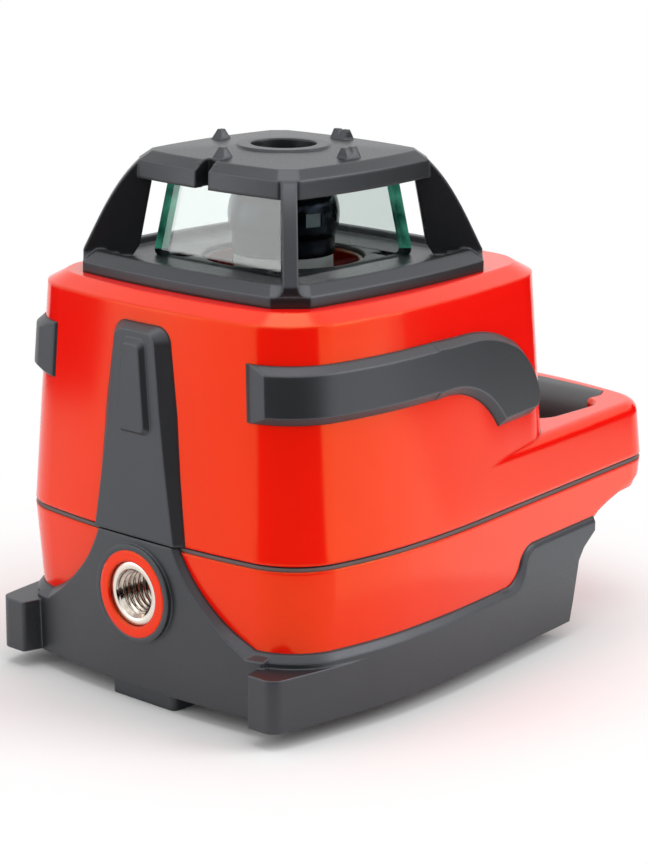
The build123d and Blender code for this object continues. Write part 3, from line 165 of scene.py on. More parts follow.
@dataclass(frozen=True)
class Finish:
    """One real material and the way its surface was made.

    Attributes:
        name: The material's common name and how it was made.
        colour: Main colour, sRGB hex.
        tint: Colour of the slow, faint variation over a moulding or a sheet.
        roughness: Middle of the roughness.
        spread: How far the roughness wanders to each side.
        metallic: 1 for bare metal.
        ior: Index of refraction, which a metal leaves at its default.
        surface: How the surface was made.
        grain: Size of the fine pattern in millimetres, drawn coarser where the real one would not show.
        relief: Depth of the fine pattern in millimetres.
        rounding: Radius in millimetres at which light rounds a solid's sharp edges, or 0.
        edge_wear_and_highlight: Whether its edges are painted paler, partly worn and partly as painted
            highlight.
        rubbed: Colour of those paler edges, sRGB hex.
        transmission: 1 for glass.
        sheen: Colour of the gloss seen straight on, sRGB hex.
        patch: Size of the slow variation in millimetres.
        painted_edge_glow: How brightly the surface glows with painted light in its own colour, standing for
            light guided through the glass to it, or 0.
        gap_shade_height: Height in millimetres above which painted shade stands for the gap under the next
            part, or 0.
        well_shade_radius: Distance from the rotor axis in millimetres within which the shell gets painted
            shade, or 0.
        contact_shade: Width in millimetres of the painted shade where another part meets the surface, or 0.
        axis_height: Height in millimetres of the axis that a turned surface goes round.
    """

    name: str
    colour: str
    tint: str
    roughness: float
    spread: float = 0.04
    metallic: float = 0.0
    ior: float = 1.5
    surface: Surface = Surface.MOULDED
    grain: float = 0.5
    relief: float = 0.01
    rounding: float = 0.0
    edge_wear_and_highlight: EdgeWearAndHighlight = EdgeWearAndHighlight.NONE
    rubbed: str = "#808080"
    transmission: float = 0.0
    sheen: str = "#FFFFFF"
    patch: float = 28.0
    painted_edge_glow: float = 0.0
    gap_shade_height: float = 0.0
    well_shade_radius: float = 0.0
    contact_shade: float = 0.0
    axis_height: float = 0.0

    def material(self) -> bpy.types.Material:
        """Makes the material once and hands out the same one afterwards.

        Returns:
            The material.
        """
        found = bpy.data.materials.get(self.name)
        if found is not None:
            return found
        material = bpy.data.materials.new(self.name)
        material.use_nodes = True
        material.diffuse_color = linear(self.colour)
        tree = material.node_tree
        tree.nodes.clear()
        place = add_node(tree, "ShaderNodeTexCoord").outputs["Object"]
        pattern = self._pattern(tree, place)
        bump = add_node(
            tree, "ShaderNodeBump", {"Strength": 1.0, "Distance": self.relief * MM}, {"Height": pattern}
        )
        if self.rounding:
            soft = add_node(tree, "ShaderNodeBevel", {"samples": BEVEL_RAYS, "Radius": self.rounding * MM})
            tree.links.new(soft.outputs["Normal"], bump.inputs["Normal"])
        shader = add_node(
            tree,
            "ShaderNodeBsdfPrincipled",
            {
                "Metallic": self.metallic,
                "Transmission Weight": self.transmission,
                "Specular Tint": linear(self.sheen),
            },
            {
                "Base Color": self._colour(tree, place),
                "Roughness": self._roughness(tree, pattern),
                "Normal": bump.outputs["Normal"],
            },
        )
        if not self.metallic:
            shader.inputs["IOR"].default_value = self.ior
        # Painted light: the surface glows in its own colour, standing for light guided along the glass
        if self.painted_edge_glow:
            tree.links.new(shader.inputs["Base Color"].links[0].from_socket, shader.inputs["Emission Color"])
            shader.inputs["Emission Strength"].default_value = self.painted_edge_glow
        add_node(tree, "ShaderNodeOutputMaterial", links={"Surface": shader.outputs["BSDF"]})
        return material

    def _pattern(self, tree: bpy.types.NodeTree, place: bpy.types.NodeSocket) -> bpy.types.NodeSocket:
        """Adds the fine pattern of the surface: an even grain, or rings round the lathe's axis.

        Args:
            tree: Tree of the material.
            place: Object coordinates.

        Returns:
            Height of the pattern, from 0 to 1.
        """
        if self.surface is not Surface.MOULDED:
            upright = self.surface is Surface.TURNED_Z
            centred = add_node(
                tree, "ShaderNodeMapping", {"Location": (0, 0, -self.axis_height * MM)}, {"Vector": place}
            ).outputs["Vector"]
            along = add_node(tree, "ShaderNodeSeparateXYZ", links={0: centred})
            rings = add_node(
                tree,
                "ShaderNodeCombineXYZ",
                links={
                    "X": self._radius(tree, centred, (1, 1, 0) if upright else (0, 1, 1)),
                    "Y": along.outputs["Z" if upright else "X"],
                },
            )
            place = rings.outputs["Vector"]
        noise = add_node(
            tree,
            "ShaderNodeTexNoise",
            {"Scale": 1 / (self.grain * MM), "Detail": 2.0, "Roughness": 0.55},
            {"Vector": place},
        )
        return noise.outputs["Fac"]

    def _radius(
        self, tree: bpy.types.NodeTree, place: bpy.types.NodeSocket, across: tuple[int, int, int]
    ) -> bpy.types.NodeSocket:
        """Adds the distance of a place from an axis.

        Args:
            tree: Tree of the material.
            place: Coordinates whose origin is on the axis.
            across: 1 for each direction across the axis, and 0 for the one along it.

        Returns:
            The distance in metres.
        """
        flat = add_node(tree, "ShaderNodeVectorMath", {"operation": "MULTIPLY", 1: across}, {0: place})
        return add_node(
            tree, "ShaderNodeVectorMath", {"operation": "LENGTH"}, {0: flat.outputs["Vector"]}
        ).outputs["Value"]

    def _colour(self, tree: bpy.types.NodeTree, place: bpy.types.NodeSocket) -> bpy.types.NodeSocket:
        """Adds the main colour and lays the other colours over it in order.

        Args:
            tree: Tree of the material.
            place: Object coordinates.

        Returns:
            Colour of the surface.
        """
        under: dict[str | int, bpy.types.NodeSocket] = {}
        for layer in self._layers(tree, place):
            share = add_node(
                tree,
                "ShaderNodeMapRange",
                {"From Min": layer.bare, "From Max": layer.full, "To Max": layer.most},
                {"Value": layer.value},
            )
            mixed = add_node(
                tree,
                "ShaderNodeMix",
                {"data_type": "RGBA", MIX_UNDER: linear(self.colour), MIX_OVER: linear(layer.colour)},
                {MIX_SHARE: share.outputs["Result"], **under},
            )
            under = {MIX_UNDER: mixed.outputs[MIX_RESULT]}
        return under[MIX_UNDER]

    def _layers(self, tree: bpy.types.NodeTree, place: bpy.types.NodeSocket) -> list[Layer]:
        """Finds where the slow variation, the shades and the rubbed edges lie.

        Args:
            tree: Tree of the material.
            place: Object coordinates.

        Returns:
            The layers, from the lowest to the highest.
        """
        slow = add_node(
            tree, "ShaderNodeTexNoise", {"Scale": 1 / (self.patch * MM), "Detail": 3.0}, {"Vector": place}
        )
        layers = [Layer(slow.outputs["Fac"], bare=0.35, full=0.65, colour=self.tint)]
        # Painted shade: the seal's top turns dark where the gap under the next part lies in shade
        if self.gap_shade_height:
            level = add_node(tree, "ShaderNodeSeparateXYZ", links={0: place}).outputs["Z"]
            low = self.gap_shade_height * MM
            layers.append(Layer(level, bare=low, full=low + GAP_BLUR, colour=GAP_SHADE))
        # Painted shade: the shell near the rotor axis turns dark red, as the deep well round the ball lies in
        # shade
        if self.well_shade_radius:
            radius = self._radius(tree, place, (1, 1, 0))
            rim = self.well_shade_radius * MM
            layers.append(Layer(radius, bare=rim + WELL_BLUR, full=rim, colour=WELL_SHADE))
        # Painted shade: ambient occlusion darkens the colour where another part meets the surface
        if self.contact_shade:
            near = add_node(
                tree, "ShaderNodeAmbientOcclusion", {"samples": CONTACT_RAYS, "Distance": self.contact_shade * MM}
            ).outputs["AO"]
            layers.append(Layer(near, bare=0.9, full=0.45, colour=CONTACT_SHADE, most=0.8))
        if self.edge_wear_and_highlight is EdgeWearAndHighlight.ROUNDED:
            # The rounded normal leaves the true one only beside an edge, which is painted paler: partly worn,
            # partly painted highlight
            soft = add_node(tree, "ShaderNodeBevel", {"samples": BEVEL_RAYS, "Radius": RUBBED_AND_HIGHLIT_RADIUS})
            true = add_node(tree, "ShaderNodeNewGeometry")
            match = add_node(
                tree,
                "ShaderNodeVectorMath",
                {"operation": "DOT_PRODUCT"},
                {0: soft.outputs["Normal"], 1: true.outputs["Normal"]},
            ).outputs["Value"]
            layers.append(Layer(match, bare=0.995, full=0.93, colour=self.rubbed, most=0.8))
        return layers

    def _roughness(self, tree: bpy.types.NodeTree, pattern: bpy.types.NodeSocket) -> bpy.types.NodeSocket:
        """Adds a roughness that follows the fine pattern.

        Args:
            tree: Tree of the material.
            pattern: Height of the fine pattern.

        Returns:
            Roughness of the surface.
        """
        span = add_node(
            tree,
            "ShaderNodeMapRange",
            {
                "From Min": 0.3,
                "From Max": 0.7,
                "To Min": max(0.0, self.roughness - self.spread),
                "To Max": self.roughness + self.spread,
            },
            {"Value": pattern},
        )
        return span.outputs["Result"]


# Injection-moulded ABS, semi-gloss: soft wide highlights that turn the red lighter, with painted shade in the
# well round the ball and where other parts meet it
RED_ABS = Finish("red ABS, moulded", "#FC0E07", "#F80C06", 0.15, 0.03, ior=1.62, grain=0.6, relief=0.002,
                 rounding=1.6, sheen="#FFE67E", well_shade_radius=26.4, contact_shade=1.6)
# Thermoplastic rubber moulded over the shell: an even, dull grey whose edges are painted paler, partly worn
# and partly as painted highlight
GREY_TPE = Finish("grey TPE, moulded", "#242527", "#202123", 0.42, 0.06, ior=1.72, grain=0.5, relief=0.012,
                  rounding=1.2, edge_wear_and_highlight=EdgeWearAndHighlight.ROUNDED, rubbed="#5A5D60", sheen="#F1F5FF")
# The same rubber on the lining of the grip, paler and duller from handling
LINING_TPE = Finish("grey TPE, handled", "#4A4C4E", "#434547", 0.46, 0.06, grain=0.5, relief=0.01)
# Filled nylon from a spark-eroded mould: half dull, with an even grain that is drawn coarser so that it
# shows. Its edges are painted paler, partly worn and partly as painted highlight
GUARD_NYLON = Finish("glass-filled nylon, textured", "#1B1C1E", "#18191B", 0.36, 0.06, ior=1.65, grain=0.55,
                     relief=0.016, rounding=1.4, edge_wear_and_highlight=EdgeWearAndHighlight.ROUNDED, rubbed="#54575B", sheen="#F1F5FF")
# Extruded nitrile cord: brownish grey and quite dull, with painted shade along its top where the gap over it
# lies
SEAL_NBR = Finish("nitrile rubber, extruded", "#6E6060", "#665958", 0.62, 0.05, grain=0.3, relief=0.008,
                  gap_shade_height=57.95)
# Polished float glass, almost colourless through its face, with the faintest wipe marks
FLOAT_GLASS = Finish("float glass, polished", "#F0F5F3", "#EDF3F1", 0.004, 0.004, ior=1.52, grain=9.0,
                     relief=0.0, transmission=1.0)
# The ground edge of the same glass, where its iron shows as green, glowing with painted light as if lit
# through the pane
GLASS_EDGE = Finish("float glass, ground edge", "#6CCBB0", "#145446", 0.16, 0.08, ior=1.52, grain=2.5,
                    relief=0.004, transmission=0.8, patch=11.0, painted_edge_glow=0.24)
# Bead of sealant that the foot of a pane stands in: black, with a soft gloss
SEALANT = Finish("silicone sealant, cured", "#121314", "#0F1011", 0.4, 0.06, grain=0.6, relief=0.01)
# Black paint over a turned ball: deep, with one soft window of light
BLACK_LACQUER = Finish("black lacquer, polished", "#060709", "#050608", 0.2, 0.03, ior=1.5, grain=0.8,
                       relief=0.001, rounding=0.3, sheen="#C9D8FF")
# Coated optical glass: a cool grey with a clear gloss; its pale grey-blue is a painted reflection of the
# bright window opening
COATED_GLASS_PAINTED_REFLECTION = Finish("coated optical glass", "#78868E", "#707E86", 0.2, 0.03, grain=4.0, relief=0.0)
# Polished crown glass of the prism and lens: clear, with the faintest blue
CROWN_GLASS = Finish("crown glass, polished", "#EAF4FA", "#E6F1F8", 0.02, 0.01, grain=4.0, relief=0.0,
                     transmission=0.9)
# Stainless steel off the lathe: rings round the upright axis, drawn coarser than they are so that they show
TURNED_STEEL_Z = Finish("stainless steel, turned upright", "#C9C8C4", "#BDBCB8", 0.26, 0.1, 1.0,
                        surface=Surface.TURNED_Z, grain=0.25, relief=0.004)
# The collar under the ball, blasted to a satin that spreads the light
SATIN_STEEL = Finish("stainless steel, satin", "#EEF4F5", "#E6ECED", 0.65, 0.05, 1.0, grain=0.3, relief=0.003)
# The side insert, a warmer steel whose rings go round its own level axis
TURNED_STEEL_X = Finish("stainless steel, turned sideways", "#F2EADF", "#E8E0D5", 0.3, 0.08, 1.0,
                        surface=Surface.TURNED_X, grain=0.25, relief=0.004, axis_height=39.0)
# The tapped bores of the inserts: bright flanks, patched darker by cutting oil
TAPPED_STEEL = Finish("stainless steel, tapped", "#E0D7CC", "#AB9D91", 0.16, 0.06, 1.0, grain=0.4,
                      relief=0.004, patch=5.0)
# Zinc-plated carbon steel of the pins and bearings: a cool, even grey
PLATED_STEEL = Finish("zinc-plated steel, rolled", "#A9ABAD", "#9B9DA0", 0.34, 0.08, 1.0, grain=0.2,
                      relief=0.003)
# Blackened steel of the screws: dark, with a faint oily sheen
BLACK_OXIDE = Finish("black oxide steel, rolled", "#3A3B3D", "#303133", 0.38, 0.08, 1.0, grain=0.25,
                     relief=0.004)
# Machined aluminium of the drive and the laser tube: pale, with soft rings
MACHINED_ALLOY = Finish("aluminium, machined", "#C2C4C6", "#B5B8BA", 0.33, 0.1, 1.0,
                        surface=Surface.TURNED_Z, grain=0.3, relief=0.006)
# Brass of the contacts, pulley and diode mount: warm yellow rings
TURNED_BRASS = Finish("brass, turned", "#C9A45A", "#BD984F", 0.3, 0.08, 1.0, surface=Surface.TURNED_Z,
                      grain=0.3, relief=0.005)
# Spirit in a glass vial: a clear yellow-green
VIAL_SPIRIT = Finish("dyed spirit in glass", "#9BD24A", "#8CC63E", 0.05, 0.02, ior=1.36, grain=4.0,
                     relief=0.0, transmission=0.7)
# Polyurethane belt: dull black
BELT_RUBBER = Finish("polyurethane belt, moulded", "#1D1E20", "#191A1B", 0.6, 0.05, grain=0.4, relief=0.01)
# Black polycarbonate of the inner frames: plain and half dull
INNER_PC = Finish("black polycarbonate, moulded", "#2A2B2D", "#252628", 0.42, 0.06, grain=0.6, relief=0.012)
# Solder mask over glass-fibre board: a glossy green
BOARD_MASK = Finish("green solder mask", "#1B5A34", "#164F2D", 0.3, 0.08, grain=0.8, relief=0.01)
# Keypad sheet: dark and matt, with a fine texture
PANEL_PC = Finish("polycarbonate sheet, matt", "#242528", "#202124", 0.48, 0.05, grain=0.35, relief=0.008,
                  rounding=0.3)
# Silicone of the keys: a soft mid grey
KEY_SILICONE = Finish("silicone rubber, moulded", "#6B6E71", "#646769", 0.5, 0.05, grain=0.4, relief=0.006)
# Pale ink of the marks on the keys: flat and matt
KEY_INK = Finish("pad-printed ink, matt", "#DADBD8", "#D2D3D0", 0.55, 0.05, grain=0.3, relief=0.004)


def plain_mesh(piece: bpy.types.Object) -> bpy.types.Object:
    """Swaps an object's mesh for its evaluated one and drops the modifiers.

    Args:
        piece: Object with modifiers.

    Returns:
        The same object.
    """
    evaluated = piece.evaluated_get(bpy.context.evaluated_depsgraph_get())
    mesh = bpy.data.meshes.new_from_object(evaluated)
    piece.modifiers.clear()
    piece.data = mesh
    mesh.name = piece.name
    return piece


def new_piece(name: str, mesh: bpy.types.Mesh) -> bpy.types.Object:
    """Links a new object for a mesh into the scene.

    Args:
        name: Name of the piece.
        mesh: Its mesh, in the frame of the parts.

    Returns:
        The new object, at the origin.
    """
    piece = bpy.data.objects.new(name, mesh)
    bpy.context.scene.collection.objects.link(piece)
    return piece


def mesh_of(grid: bmesh.types.BMesh, name: str, sharp: float) -> bpy.types.Mesh:
    """Turns a closed grid into a smooth mesh that keeps its sharp edges.

    Args:
        grid: Grid, which is freed.
        name: Name of the mesh.
        sharp: Edges that turn by more than this many degrees stay sharp.

    Returns:
        The mesh, with its faces pointing outwards.
    """
    bmesh.ops.remove_doubles(grid, verts=grid.verts, dist=MERGE)
    bmesh.ops.recalc_face_normals(grid, faces=grid.faces)
    mesh = bpy.data.meshes.new(name)
    grid.to_mesh(mesh)
    grid.free()
    mesh.shade_smooth()
    mesh.set_sharp_from_angle(angle=math.radians(sharp))
    return mesh


@dataclass(frozen=True)
class Ring:
    """One level of a stacked form.

    Attributes:
        height: Height of the level in millimetres.
        radius: Radius in millimetres, or half the width across flats.
        sides: Number of flat sides, or 0 for a circle.
    """

    height: float
    radius: float
    sides: int = 0

    def point(self, angle: float) -> Vector:
        """Finds the level's point at an angle.

        Args:
            angle: Angle in radians.

        Returns:
            The point in metres.
        """
        reach = self.radius
        if self.sides:
            half = math.pi / self.sides
            reach /= math.cos((angle + half) % (2 * half) - half)
        return Vector((reach * math.cos(angle), reach * math.sin(angle), self.height)) * MM


def stacked(rings: tuple[Ring, ...], closed: bool = True, steps: int = 48) -> bmesh.types.BMesh:
    """Builds a round form from levels, each joined to the next.

    Args:
        rings: Levels in order.
        closed: Whether the two ends get a face.
        steps: Points round each level.

    Returns:
        The form.
    """
    grid = bmesh.new()
    angles = [2 * math.pi * i / steps for i in range(steps)]
    loops = [[grid.verts.new(ring.point(angle)) for angle in angles] for ring in rings]
    for low, high in zip(loops, loops[1:]):
        for i in range(steps):
            j = (i + 1) % steps
            grid.faces.new((low[i], low[j], high[j], high[i]))
    if closed:
        grid.faces.new(loops[0][::-1])
        grid.faces.new(loops[-1])
    return grid


def new_tree(name: str, inputs: dict[str, str]) -> bpy.types.NodeTree:
    """Begins a geometry node tree with named inputs and a geometry as its output.

    Args:
        name: Name of the tree.
        inputs: Kind of each input, by the input's name.

    Returns:
        The tree.
    """
    tree = bpy.data.node_groups.new(name, "GeometryNodeTree")
    tree.interface.new_socket("Geometry", in_out="OUTPUT", socket_type="NodeSocketGeometry")
    for label, kind in inputs.items():
        tree.interface.new_socket(label, in_out="INPUT", socket_type="NodeSocket" + kind)
    return tree


def end_tree(tree: bpy.types.NodeTree, shape: bpy.types.NodeSocket, steel: bpy.types.NodeSocket) -> None:
    """Ends a geometry node tree: what it made becomes one plain mesh with a material.

    Args:
        tree: Tree to end.
        shape: Geometry that the tree made.
        steel: Its material.
    """
    real = add_node(tree, "GeometryNodeRealizeInstances", links={"Geometry": shape})
    dressed = add_node(
        tree, "GeometryNodeSetMaterial", links={"Geometry": real.outputs["Geometry"], "Material": steel}
    )
    add_node(tree, "NodeGroupOutput", links={"Geometry": dressed.outputs["Geometry"]})


def grown(
    name: str, tree: bpy.types.NodeTree, values: dict[str, object], start: bpy.types.Mesh | None = None
) -> bpy.types.Object:
    """Grows a piece with a node tree and makes the result a plain mesh.

    Args:
        name: Name of the piece.
        tree: Geometry node tree.
        values: Values of the tree's inputs, by the input's name.
        start: Mesh that the tree starts from, or None for an empty one.

    Returns:
        The new piece.
    """
    piece = new_piece(name, start or bpy.data.meshes.new(name))
    modifier = piece.modifiers.new("grown", "NODES")
    modifier.node_group = tree
    for item in tree.interface.items_tree:
        if item.in_out == "INPUT" and item.name in values:
            modifier[item.identifier] = values[item.name]
    return plain_mesh(piece)


@dataclass(frozen=True)
class Skin:
    """How the skin of a soft moulding is laid over its solid.

    Attributes:
        cell: Size of the skin's faces in millimetres.
        passes: How often the skin is relaxed, which rounds its edges.
        strength: How far a point moves each time, where 1 is to the middle of its neighbours.
    """

    cell: float
    passes: int = 3
    strength: float = 0.5


def moulded(node: str, name: str, skin: Skin) -> bpy.types.Object:
    """Lays an even skin with soft edges over a part's solid.

    Args:
        node: Part to copy.
        name: Name of the new piece.
        skin: How the skin is laid.

    Returns:
        The new piece.
    """
    mesh = frame["nodes"][node].data.copy()
    mesh.materials.clear()
    grid = bmesh.new()
    grid.from_mesh(mesh)
    bmesh.ops.remove_doubles(grid, verts=grid.verts, dist=MERGE_SOLID)
    grid.to_mesh(mesh)
    grid.free()
    if mesh.has_custom_normals:
        mesh.attributes.remove(mesh.attributes["custom_normal"])
    piece = new_piece(name, mesh)
    even = piece.modifiers.new("even skin", "REMESH")
    even.mode = "VOXEL"
    even.voxel_size = skin.cell * MM
    relaxed = piece.modifiers.new("soft edges", "SMOOTH")
    relaxed.factor = skin.strength
    relaxed.iterations = skin.passes
    plain_mesh(piece)
    piece.data.shade_smooth()
    LOG.info("%s has %d faces", name, len(piece.data.polygons))
    return piece


def settle(piece: bpy.types.Object, finish: Finish, *nodes: str) -> bpy.types.Object:
    """Gives a piece its finish and lets it stand for parts.

    Args:
        piece: Piece to attach to the body of its parts.
        finish: Its finish.
        nodes: Parts that it stands for, all of one body.

    Returns:
        The piece.
    """
    if not piece.data.materials:
        piece.data.materials.append(finish.material())
    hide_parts(*nodes)
    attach(piece, BODY_OF[nodes[0]])
    LOG.info("%s stands for %s", piece.name, ", ".join(nodes))
    return piece


def dress(finishes: dict[str, Finish]) -> None:
    """Gives parts that keep their own shape their finishes.

    Args:
        finishes: Finish of each part.
    """
    for node, finish in finishes.items():
        part = frame["nodes"][node]
        part.data.materials.clear()
        part.data.materials.append(finish.material())
        LOG.info("%s is dressed", node)


@dataclass
class Shell:
    """Two red housings, the seal between them and the lining of the grip.

    Attributes:
        lining: How the skin of the lining is laid.
    """

    lining: Skin = Skin(0.5)

    def build(self) -> None:
        """Dresses the housings and the seal, and makes the lining."""
        dress({"upper_housing": RED_ABS, "lower_housing": RED_ABS, "seam_gasket": SEAL_NBR})
        settle(moulded("grip_liner", "grip_lining", self.lining), LINING_TPE, "grip_liner")


@dataclass
class SoftTrim:
    """Rubber base, lay-down leg and side grips.

    Attributes:
        nodes: Parts of the trim.
    """

    nodes: tuple[str, ...] = ("base_bumper", "leg_rest", "side_grip_right", "side_grip_left")

    def build(self) -> None:
        """Dresses the rubber mouldings."""
        dress({node: GREY_TPE for node in self.nodes})


@dataclass
class HeadCage:
    """Guard over the spinning head, with its glass.

    Attributes:
        foot: Height and half width of a pane's foot in millimetres.
        head: Height and half width of a pane's head in millimetres.
        thick: Thickness of the glass, measured level.
        corner: Radius of a pane's lower corners.
        arc_step: Degrees between two points of such a corner.
        slit: Gap between two panes at a mitre.
        panes: Quarter turns from the grip's side to each pane.
        finishes: What a pane shows on its faces, on its edges and at its foot.
    """

    foot: tuple[float, float] = (144.0, 31.4)
    head: tuple[float, float] = (172.0, 27.4)
    thick: float = 4.2
    corner: float = 2.6
    arc_step: int = 15
    slit: float = 0.05
    panes: dict[str, int] = field(
        default_factory=lambda: {"pane_back": 0, "pane_left": 1, "pane_front": 2, "pane_right": 3}
    )
    finishes: tuple[Finish, Finish, Finish] = (FLOAT_GLASS, GLASS_EDGE, SEALANT)

    def build(self) -> None:
        """Dresses the guard and makes the panes."""
        dress({"head_guard": GUARD_NYLON})
        for node, quarter in self.panes.items():
            self._pane(node, quarter)

    def _half(self, height: float) -> float:
        """Finds a pane's half width at a height, both in millimetres."""
        rise = (height - self.foot[0]) / (self.head[0] - self.foot[0])
        return self.foot[1] + (self.head[1] - self.foot[1]) * rise

    def _rim(self, inset: float) -> list[Vector]:
        """Walks round one face of a pane that looks along +X.

        Args:
            inset: How far the face lies inside the outer one, in millimetres.

        Returns:
            Points of the rim in metres.
        """
        low, high, radius = self.foot[0], self.head[0], self.corner
        arc = [math.radians(a) for a in range(0, 91, self.arc_step)]
        curve = [(radius * (1 - math.sin(a)), low + radius * (1 - math.cos(a))) for a in arc]
        walk = [(-1, *spot) for spot in curve[::-1]]
        walk += [(1, *spot) for spot in curve]
        walk += [(1, 0.0, high), (-1, 0.0, high)]
        points = []
        for side, cut, height in walk:
            reach = self._half(height) - inset
            points.append(Vector((reach, side * (reach - self.slit - cut), height)) * MM)
        return points

    def _pane(self, node: str, quarter: int) -> None:
        """Makes one pane with clear faces, green edges and a foot in sealant.

        Args:
            node: Part of the pane.
            quarter: Quarter turns from the grip's side.
        """
        name = node.replace("pane", "glass")
        sealed = (self.foot[0] + self.corner) * MM
        grid = bmesh.new()
        outer, inner = ([grid.verts.new(p) for p in self._rim(inset)] for inset in (0.0, self.thick))
        grid.faces.new(outer)
        grid.faces.new(inner[::-1])
        for i in range(len(outer)):
            j = (i + 1) % len(outer)
            side = grid.faces.new((outer[i], outer[j], inner[j], inner[i]))
            shown = SEALANT if max(v.co.z for v in side.verts) < sealed else GLASS_EDGE
            side.material_index = self.finishes.index(shown)
        grid.transform(Matrix.Rotation(quarter * math.pi / 2, 4, "Z"))
        piece = new_piece(name, mesh_of(grid, name, sharp=20))
        for finish in self.finishes:
            piece.data.materials.append(finish.material())
        settle(piece, FLOAT_GLASS, node)


@dataclass
class SpinningHead:
    """Ball, window, prism, collar and shaft of the rotor.

    Attributes:
        finishes: Finish of each part.
    """

    finishes: dict[str, Finish] = field(
        default_factory=lambda: {
            "rotor_head": BLACK_LACQUER,
            "beam_window": COATED_GLASS_PAINTED_REFLECTION,
            "pentaprism": CROWN_GLASS,
            "rotor_collar": SATIN_STEEL,
            "rotor_shaft": TURNED_STEEL_Z,
            "rotor_pulley": MACHINED_ALLOY,
            "encoder_disc": COATED_GLASS_PAINTED_REFLECTION,
        }
    )

    def build(self) -> None:
        """Dresses the ball and what it carries."""
        dress(self.finishes)


@dataclass
class Works:
    """Drive, laser tube, gimbal and chassis inside the tower.

    Attributes:
        finishes: Finish of each part.
    """

    finishes: dict[str, Finish] = field(
        default_factory=lambda: {
            "bearing_housing": MACHINED_ALLOY,
            "bearing_lower": PLATED_STEEL,
            "bearing_upper": PLATED_STEEL,
            "laser_tube": MACHINED_ALLOY,
            "collimator_lens": CROWN_GLASS,
            "laser_diode": TURNED_BRASS,
            "level_vials": VIAL_SPIRIT,
            "spin_motor": PLATED_STEEL,
            "motor_pulley": TURNED_BRASS,
            "drive_belt": BELT_RUBBER,
            "gimbal_ring": MACHINED_ALLOY,
            "tilt_pins_x": PLATED_STEEL,
            "tilt_pins_y": PLATED_STEEL,
            "chassis": INNER_PC,
            "main_board": BOARD_MASK,
            "keypad_board": BOARD_MASK,
        }
    )

    def build(self) -> None:
        """Dresses the inner parts, which keep their own shape."""
        dress(self.finishes)


